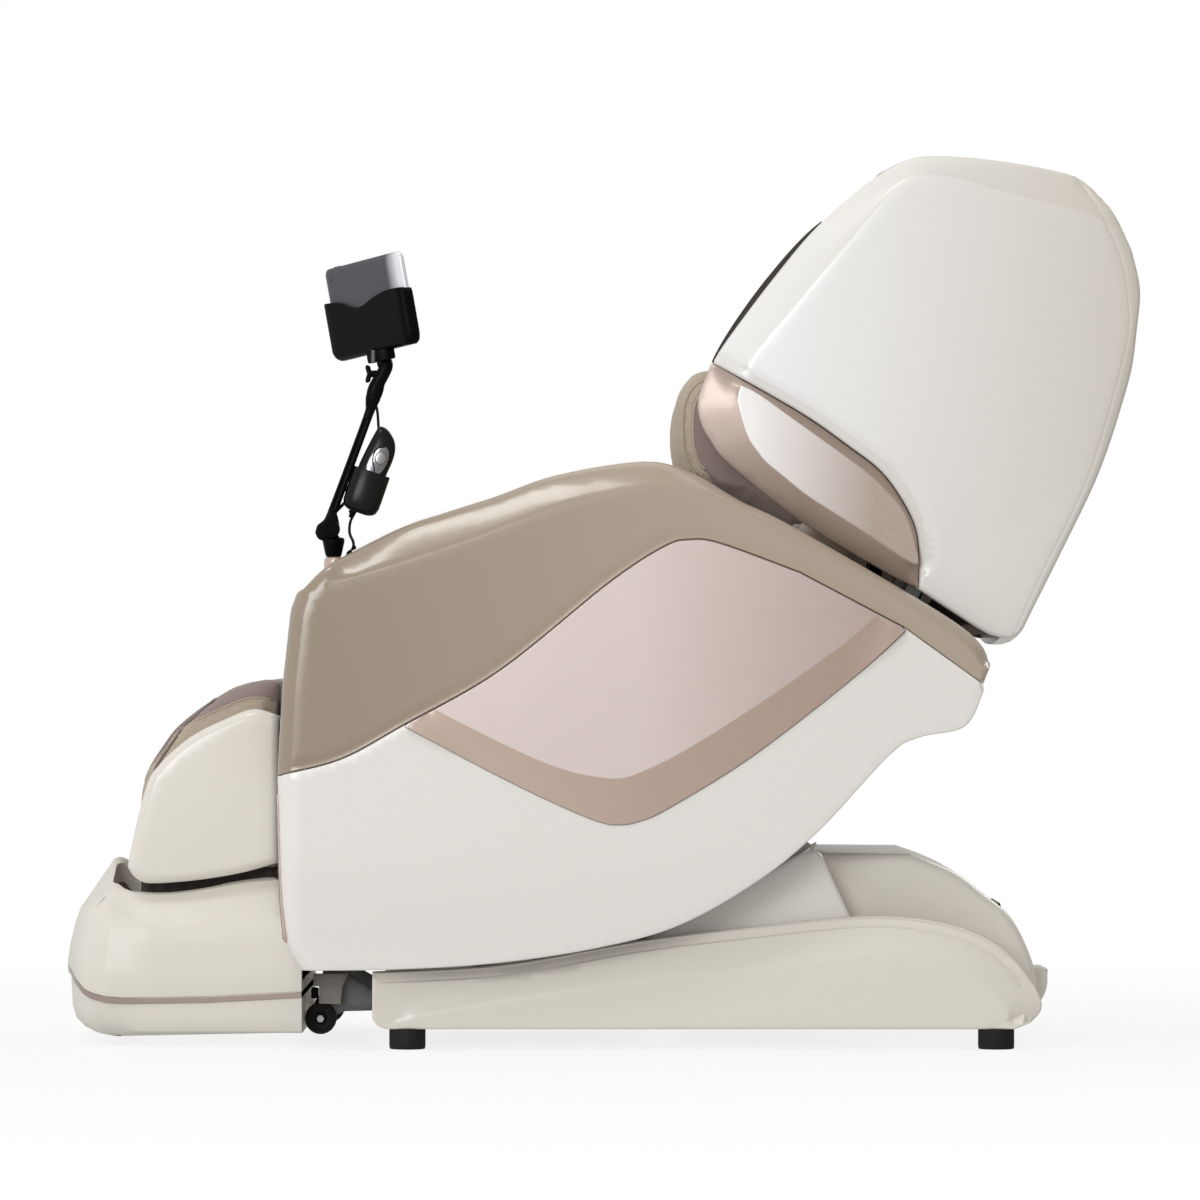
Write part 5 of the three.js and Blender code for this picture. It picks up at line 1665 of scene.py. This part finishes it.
def make_holder_arm():
    bar = smooth(BAR, 1.6)
    groove = np.exp(-((bar[:, 1] - 899) / 0.9) ** 2)
    bar[:, 2] -= 0.7 * groove
    bar[:, 3] -= 0.7 * groove
    points, faces = loft(bar, HOLDER_Y, steps=40)
    points = points.reshape(len(bar), 40, 3)
    middle = np.abs(points[:, :, 1] - HOLDER_Y) > 0.93 * bar[:, 3][:, None]
    channel = (bar[:, 1] > 745) & (bar[:, 1] < 868)
    away = np.linalg.norm(points[:, :, [0, 2]] - bar[:, None, :2], axis=2)
    sink = 1.7 * np.clip(1.3 - away / 3.2, 0, 1) * middle * channel[:, None]
    points[:, :, 1] -= np.sign(points[:, :, 1] - HOLDER_Y) * sink
    new_piece("holder_arm_bar", upright(points.reshape(-1, 3)), faces, [BLACK], "holder", ["holder_arm"])
    fork = smooth(FORK, 3)[:-1]
    for number, (low, high) in enumerate(((HOLDER_Y - 11, HOLDER_Y - 6), (HOLDER_Y + 6, HOLDER_Y + 11))):
        plate(f"holder_fork_{number + 1}", fork, rounded(high, 1.2), rounded(low, -1.2), "holder", [BLACK],
              rings=(0.16, 0.6, 1.2), spacing=4, sides=ONE)
    bracket = [(-356, 798), (-348.5, 794), (-356.5, 768), (-366, 769)]
    plate("cup_bracket", polygon(bracket, 4), rounded(HOLDER_Y + 5, 1), rounded(HOLDER_Y - 5, -1), "holder",
          [BLACK], rings=(0.5, 1), spacing=4, sides=ONE)
    strut = smooth([(-377, HOLDER_Y, 732), (-369, HOLDER_Y, 741), (-358, HOLDER_Y, 752), (-352, HOLDER_Y, 757)],
                   2)
    new_piece("cup_strut", *tube(upright(strut), 2.3 * MM, 12), [BLACK], "holder")
    x = HEAD[0]
    turned_piece("wing_knob_hub", [(3.4, -320.4 - x), (5, -320 - x), (5, -313.6 - x), (4.6, -313.2 - x)],
                 (x, HOLDER_Y, 930), "X", BLACK, "wing_knob")
    wing = smooth([(-325.5, 942, 1.5, 2), (-325.8, 940, 3.4, 3), (-324.4, 934, 3.6, 3.2), (-322.4, 930, 4.4, 4),
                   (-324.4, 926, 3.6, 3.2), (-325.8, 920, 3.4, 3), (-325.5, 918, 1.5, 2)], 1.5)
    points, faces = loft(wing, HOLDER_Y, steps=20)
    new_piece("wing_knob_wings", upright(points), faces, [BLACK], "wing_knob", ["wing_knob"])
    knob = [(2, -24), (4.4, -24), (4.8, -23.5), (5.2, -24), (7.4, -24), (7.9, -23.4), (8.4, -24), (11.2, -24),
            (12.3, -23), (12.5, -21.6), (12.5, -13.4), (11.8, -12.2), (10, -11.8), (5, -11.8)]
    turned_piece("elbow_knob_cap", knob, (ELBOW[0], HOLDER_Y, ELBOW[2]), "Y", BLACK, "elbow_knob",
                 ["elbow_knob"], 60)


def make_holder_socket():
    x, y = -371, HOLDER_Y
    turned_piece("holder_base", [(15, 640), (15, 672), (14.4, 675), (12.6, 677), (8, 678)], (x, y, 0), "Z",
                 BAND, "seat")
    cup = [(6, 676), (8, 677), (10.6, 679), (11.6, 682), (15, 698), (15.2, 702), (14, 704), (9, 705)]
    turned_piece("holder_socket_cup", cup, (x - 2, y, 0), "Z", BLACK, "seat", ["holder_socket"])
    neck = smooth([(x + 1, 700, 7, 5), (x - 3, 706, 8, 4.6), (x - 6, 712, 9, 4.6), (-377, 718, 8, 4.6),
                   (-376.4, 723, 3, 2.6)], 2)
    points, faces = loft(neck, HOLDER_Y, steps=28)
    new_piece("elbow_knuckle", upright(points), faces, [BLACK], "seat")
    boot = [(11, 655), (11, 681), (10, 684), (8, 686.4), (5, 688), (3.4, 690), (2.8, 693)]
    turned_piece("lead_boot", boot, (-345, y, 0), "Z", BLACK, "seat")


HANDSET = [(0, 2, 8, 5), (0, 3, 14, 9), (0, 8, 19.4, 11.6), (0, 18, 21, 13), (-0.3, 54, 20.4, 13),
           (1.6, 76, 20.2, 13), (2.2, 92, 18.6, 12.4), (0.8, 104, 15.2, 10.8), (-2, 112, 10.8, 8.2),
           (-4.6, 116.6, 6, 5), (-6, 118.2, 1.6, 1.6)]


def handset_face(p, lift):
    """How far out the handset's front surface is, for flat points on it."""
    x, z, a, b = smooth(HANDSET, 2).T
    off = np.abs(p[:, 0] - np.interp(p[:, 1], z, x)) / np.interp(p[:, 1], z, a)
    return -np.interp(p[:, 1], z, b) * (1 - np.clip(off, 0, 0.999) ** SQUARENESS) ** (1 / SQUARENESS) - lift


def make_handset():
    points, faces = loft(smooth(HANDSET, 2.5), steps=48, across=(1, 0))
    new_piece("handset_shell", beside_arm(points), faces, [SATIN], "handset", ["handset"])
    angle = np.linspace(0, 2 * math.pi, 61)[:-1]
    window = columns(3.2 + 12.6 * np.cos(angle) + 2.6 * np.sin(angle), 70 + 23 * np.sin(angle))
    button = columns(5.6 + 7.6 * np.cos(angle), 76 + 8.6 * np.sin(angle))
    pocket, well = inset(button, -0.4), inset(button, -0.5)
    plate("handset_window", window, level(lambda p, d: handset_face(p,
                                                                    np.where(inside(p, well), 0.2,
                                                                             0.9 - 0.5 * edge_drop(d, 0.8)))),
          level(lambda p, d: handset_face(p, -1.5)), "handset", [MIRROR], place=beside_arm, rings=(0.3, 0.8),
          creases=[looped(loop) for loop in (pocket, inset(button, -0.6))], spacing=3, sides=ONE)
    divide = smooth([(6, 92.6), (-2.4, 88), (-5.4, 79), (-3.6, 69), (1.5, 60), (4.6, 50)], 2)
    path = columns(divide[:, 0], handset_face(divide, 1.0), divide[:, 1])
    new_piece("handset_divide", *tube(beside_arm(path), 0.9 * MM, 8), [BLACK], "handset")
    plate("handset_button_cap", button, level(lambda p, d: handset_face(p, 2.9 - edge_drop(d, 1.3))),
          level(lambda p, d: handset_face(p, 1.6)), "handset_button", [SILVER], ["handset_button"], beside_arm,
          (0.2, 0.7, 1.4), (), 2.5, sides=ONE)
    cup = [(0, -5, 9, 5), (0, -4.6, 14, 9), (0, -2.6, 19.5, 13), (0, 1, 23.4, 15.6), (0, 8, 25.6, 16.8),
           (0, 20, 26, 17), (0, 53.6, 26, 17), (0, 54.7, 25.7, 16.7), (0, 55, 25, 16), (0, 54.6, 24, 15),
           (0, 53, 23.2, 14.2), (0, 20, 22.6, 13.8), (0, 8, 20.6, 12.8), (0, 3, 16, 10), (0, -0.6, 8, 5)]
    points, faces = loft(cup, steps=48, across=(1, 0))
    new_piece("handset_cup_shell", beside_arm(points), faces, [SATIN], "holder", ["handset_cup"])
    turned_piece("cup_outlet", [(5, -4), (5, -8), (3.4, -9), (3, -14), (2.4, -14.6)], (-8, 6, 0), "Z", BLACK,
                 "holder", place=beside_arm)


CRADLE_TOP = [(97, 37), (91, 41), (70, 42), (46, 40.5), (22, 36), (0, 30), (-22, 28.5), (-44, 33), (-66, 41),
              (-84, 44), (-101, 44)]


def make_tablet():
    half = TABLET_HALF
    outline = rounded_box(-half, half, -30, 91, 10, 8)

    def back(p, d):
        crease = 0.35 * np.exp(-((91 - p[:, 1] - 9) / 0.8) ** 2)
        return -4.5 + 3.6 * (1 - np.sqrt(1 - np.clip(1 - d / 12, 0, 1) ** 2)) + crease

    plate("tablet_case", outline, level(back), rounded(4.5, 1.2), "tablet", [CASE], ["tablet"], on_head,
          (0.16, 0.6, 1.2, 3, 6, 9, 12), [lines([(-half, z), (half, z)], 6) for z in (80.8, 82, 83.2)], 9,
          sides=ONE, sharp=60)
    plate("tablet_screen", rounded_box(-half + 3, half - 3, -27, 88, 7, 5), rounded(4.9, 0.3), level(4.2),
          "tablet", [GLASS], place=on_head, rings=(0.3,), spacing=20, sides=ONE)
    plate("tablet_key", rounded_box(-72, -56, -1.4, 1.4, 1.3, 4), rounded(92, 0.4), level(88), "tablet",
          [BLACK], place=lambda p: on_head(p[:, [0, 2, 1]]), spacing=4, sides=ONE)
    lens = [(1, -5.2), (3.2, -5.2), (3.6, -4.8), (3.8, -4)]
    turned_piece("tablet_lens", lens, (-78, 0, 76), "Y", GLASS, "tablet", steps=24, place=on_head)


def make_cradle():
    half = TABLET_HALF
    top = smooth(CRADLE_TOP, 5)
    low = [(-half - 7, 44), (-half - 7, -24), (-half - 4, -32), (-half + 5, -38), (half - 8, -38),
           (half + 0.5, -34), (half + 3.2, -24), (half + 3.2, 37)]
    sides_low = lines(low, 5)
    outline = chain(sides_low, top)
    pocket, step, wall = (rounded_box(-half - g, half + g, -30 - g, 100, 10, 6) for g in (0.6, 0.9, 1.3))
    walls = [looped(loop) for loop in (pocket, wall)]

    def outer(p, d):
        return -13 + 10 * (1 - np.sqrt(1 - np.clip(1 - distance(p, sides_low, False) / 11, 0,
                                                   1) ** 2)) + edge_drop(distance(p, top, False), 1.2)

    def inner(p, d):
        return np.where(inside(p, step), -5.2, 7 - edge_drop(d, 1.4))

    plate("tablet_cradle_tray", outline, level(outer), level(inner), "tablet_head", [BLACK], ["tablet_cradle"],
          on_head, (0.3, 0.8, 1.4, 3, 6, 11), walls, 7, sides=ONE, sharp=45)
    lip = [(-half - 6.6, 42), (-half - 6.6, -24), (-half + 4, -37), (half - 7, -37), (half + 2.8, -24),
           (half + 2.8, 36), (half - 6, 36), (half - 6, -22), (-half + 8, -22), (-half + 8, 42),
           (-half - 6.6, 42)]
    plate("tablet_cradle_lip", lines(lip, 5)[:-1], rounded(7.2, 1), level(5.3), "tablet_head", [BLACK],
          place=on_head, rings=(0.4, 1), spacing=6, sides=ONE)
    clamp = rounded_box(-16, 34, -51, -35, 3, 4)
    ribs = [lines([(x, -50), (x, -37)], 4) for x in (-3.6, -2, -0.4, 14.4, 16, 17.6)]
    plate("cradle_clamp", clamp, level(lambda p, d: -11 + edge_drop(d, 2)
                                       + 1.6 * np.exp(-(np.minimum(np.abs(p[:, 0] + 2),
                                                                   np.abs(p[:, 0] - 16)) / 1.2) ** 2)),
          rounded(4, 2), "tablet_head", [BLACK], place=on_head, rings=(0.3, 1, 2), creases=ribs, spacing=4,
          sides=ONE)
    neck = smooth([(-305, 938, 5, 3.6), (-305.4, 942, 7.4, 3.9), (-305.6, 948, 7.6, 3.9), (-307, 955, 6, 3.9),
                   (-309, 962, 6.6, 4.4), (-311, 968, 7.2, 5)], 2)
    points, faces = loft(neck, HOLDER_Y, steps=28)
    new_piece("cradle_neck", upright(points), faces, [BLACK], "tablet_head")
    thread = [(3.4 + 0.6 * (k % 2), 946 + 1.3 * k) for k in range(14)]
    turned_piece("cradle_screw", thread, (-317.5, HOLDER_Y, 0), "Z", STEEL, "tablet_head", steps=24)
    turned_piece("cradle_pin", [(3.2, 948), (3.8, 949), (3.8, 960), (3, 961)], (-300.5, HOLDER_Y - 4, 0), "Z",
                 CHROME, "tablet_head", steps=24)


# ---- casters, feet and the power inlet ----
CASTER = (-396, 170, 35)
CASTER_ARM = [(-317, 45), (-362, 44), (-384, 35), (-396, 27), (-405, 31), (-406, 42), (-398, 60), (-398, 96),
              (-362, 98), (-330, 80), (-317, 72)]
CASTER_PLATE = [(-406, 98), (-406, 81), (-398, 80), (-398, 56), (-368, 55), (-365, 80), (-357, 98)]


def make_casters():
    x, y, z = CASTER
    arm = polygon(CASTER_ARM, 6)
    cover = polygon(CASTER_PLATE, 6)
    plate("caster_arm", arm, rounded(y - 13, 0.8), rounded(y - 17, -0.8), "base", [STEEL], rings=(0.3, 0.8),
          spacing=8)
    plate("caster_plate", cover, rounded(y + 17, 1), rounded(y + 13.4, -0.8), "base", [GREY], rings=(0.3, 1),
          spacing=8)
    plate("caster_stop", rounded_box(-409, -399, 63, 78, 2, 4), rounded(y + 15, 1.2), rounded(y - 6, -1.2),
          "base", [BLACK], rings=(0.4, 1.2), spacing=5)
    plate("caster_bar", rounded_box(-322.6, -316.6, 46, 72, 1.6, 4), rounded(195, 1), rounded(-195, -1), "base",
          [GREY], ["caster_bracket"], rings=(0.4, 1), spacing=6, sides=ONE)
    for side, sign in SIDES:
        at = (x, sign * y, z)
        tread = [(6, -12), (8.6, -12), (9.4, -10.8), (16.6, -10.8), (17.6, -12), (20.4, -12), (21.6, -11),
                 (22, -9), (22, 9), (21.6, 11), (20.4, 12), (17.6, 12), (16.6, 10.8), (9.4, 10.8), (8.6, 12),
                 (6, 12)]
        turned_piece(f"caster_tyre_{side}", tread, at, "Y", RUBBER, f"caster_{side}", [f"caster_wheel_{side}"],
                     64, True)
        turned_piece(f"caster_axle_{side}", [(4.4, -17.6), (5, -17), (5, 13), (4.4, 13.6)], at, "Y", ZINC,
                     "base", steps=32)
        washer = [(7.6, sign * 12.2), (7.6, sign * 13)]
        turned_piece(f"caster_washer_{side}", washer, at, "Y", BLACK, "base", steps=40)
        nut = [(5, sign * 13), (5.6, sign * 13.5), (5.6, sign * 16.8), (5, sign * 17.4)]
        turned_piece(f"caster_nut_{side}", nut, at, "Y", ZINC, "base", steps=6)
    for place in ("front_left", "front_right", "rear_left", "rear_right"):
        low, high = (np.array(corner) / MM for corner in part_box(f"foot_{place}"))
        middle = ((low[0] + high[0]) / 2 - SHIFT, (low[1] + high[1]) / 2, 0)
        foot = [(22.4, 0), (24, 0.5), (24.7, 2), (25, 5), (25, 26.4), (24.4, high[2]), (20, high[2])]
        turned_piece(f"foot_pad_{place}", foot, middle, "Z", RUBBER, "base", [f"foot_{place}"], 64)


INLET = [(596, 107), (611, 107), (616, 105), (618, 100), (618, 84), (615, 72), (608, 60), (597, 58), (596, 62)]


def make_power_inlet():
    y = -150
    casing = chain(smooth(INLET, 4), lines([INLET[-1], INLET[0]], 5)[1:-1])
    plate("inlet_housing", casing, rounded(y + 50, 4), rounded(y - 50, -4), "base", [CREAM], ["power_inlet"],
          rings=edge_rings(4), spacing=6, sides=ONE)

    def behind(p):
        return upright(p[:, [1, 0, 2]])

    for title, y0, y1, z0, z1 in (("socket", -41, -1, 85, 104), ("switch_frame", 10.5, 41.5, 83.5, 104.5)):
        plate(f"inlet_{title}", rounded_box(y + y0, y + y1, z0, z1, 2.5, 4), rounded(618.7, 0.6), level(612),
              "base", [BLACK], place=behind, rings=(0.3,), spacing=8, sides=ONE)
    for k, (at, up) in enumerate(((-29, 92), (-21, 98), (-13, 92))):
        plate(f"inlet_pin_{k + 1}", rounded_box(y + at - 1, y + at + 1, up - 3, up + 3, 0.5, 3),
              rounded(619.4, 0.3), level(612), "base", [ZINC], place=behind, spacing=3, sides=ONE)


make_holder_arm()
make_holder_socket()
make_handset()
make_tablet()
make_cradle()
make_casters()
make_power_inlet()


# ---- carried-over parts ----
CARRIED = {
    CREAM: ["base_frame"],
    STEEL: ["slide_carriage", "seat_frame", "back_frame", "legrest_frame"],
    BLACK: ["roller_frame"],
    GREY: ["massage_carriage"],
    RED: ["power_switch"],
    BROWN: ["back_skirt"],
}


def soften(piece):
    """Rounds a carried-over part's hard edges without touching its mesh."""
    plane = piece.modifiers.new("flats", "DECIMATE")
    plane.decimate_type, plane.angle_limit = "DISSOLVE", math.radians(1)
    bevel = piece.modifiers.new("edges", "BEVEL")
    bevel.width, bevel.segments, bevel.angle_limit = 0.8 * MM, 2, math.radians(32)
    bevel.limit_method, bevel.use_clamp_overlap = "ANGLE", True
    piece.modifiers.new("shading", "WEIGHTED_NORMAL").keep_sharp = True
    piece.data.shade_smooth()


for look, names in CARRIED.items():
    for node in names:
        part = frame["nodes"][node]
        part.data.materials.clear()
        part.data.materials.append(look)
        soften(part)
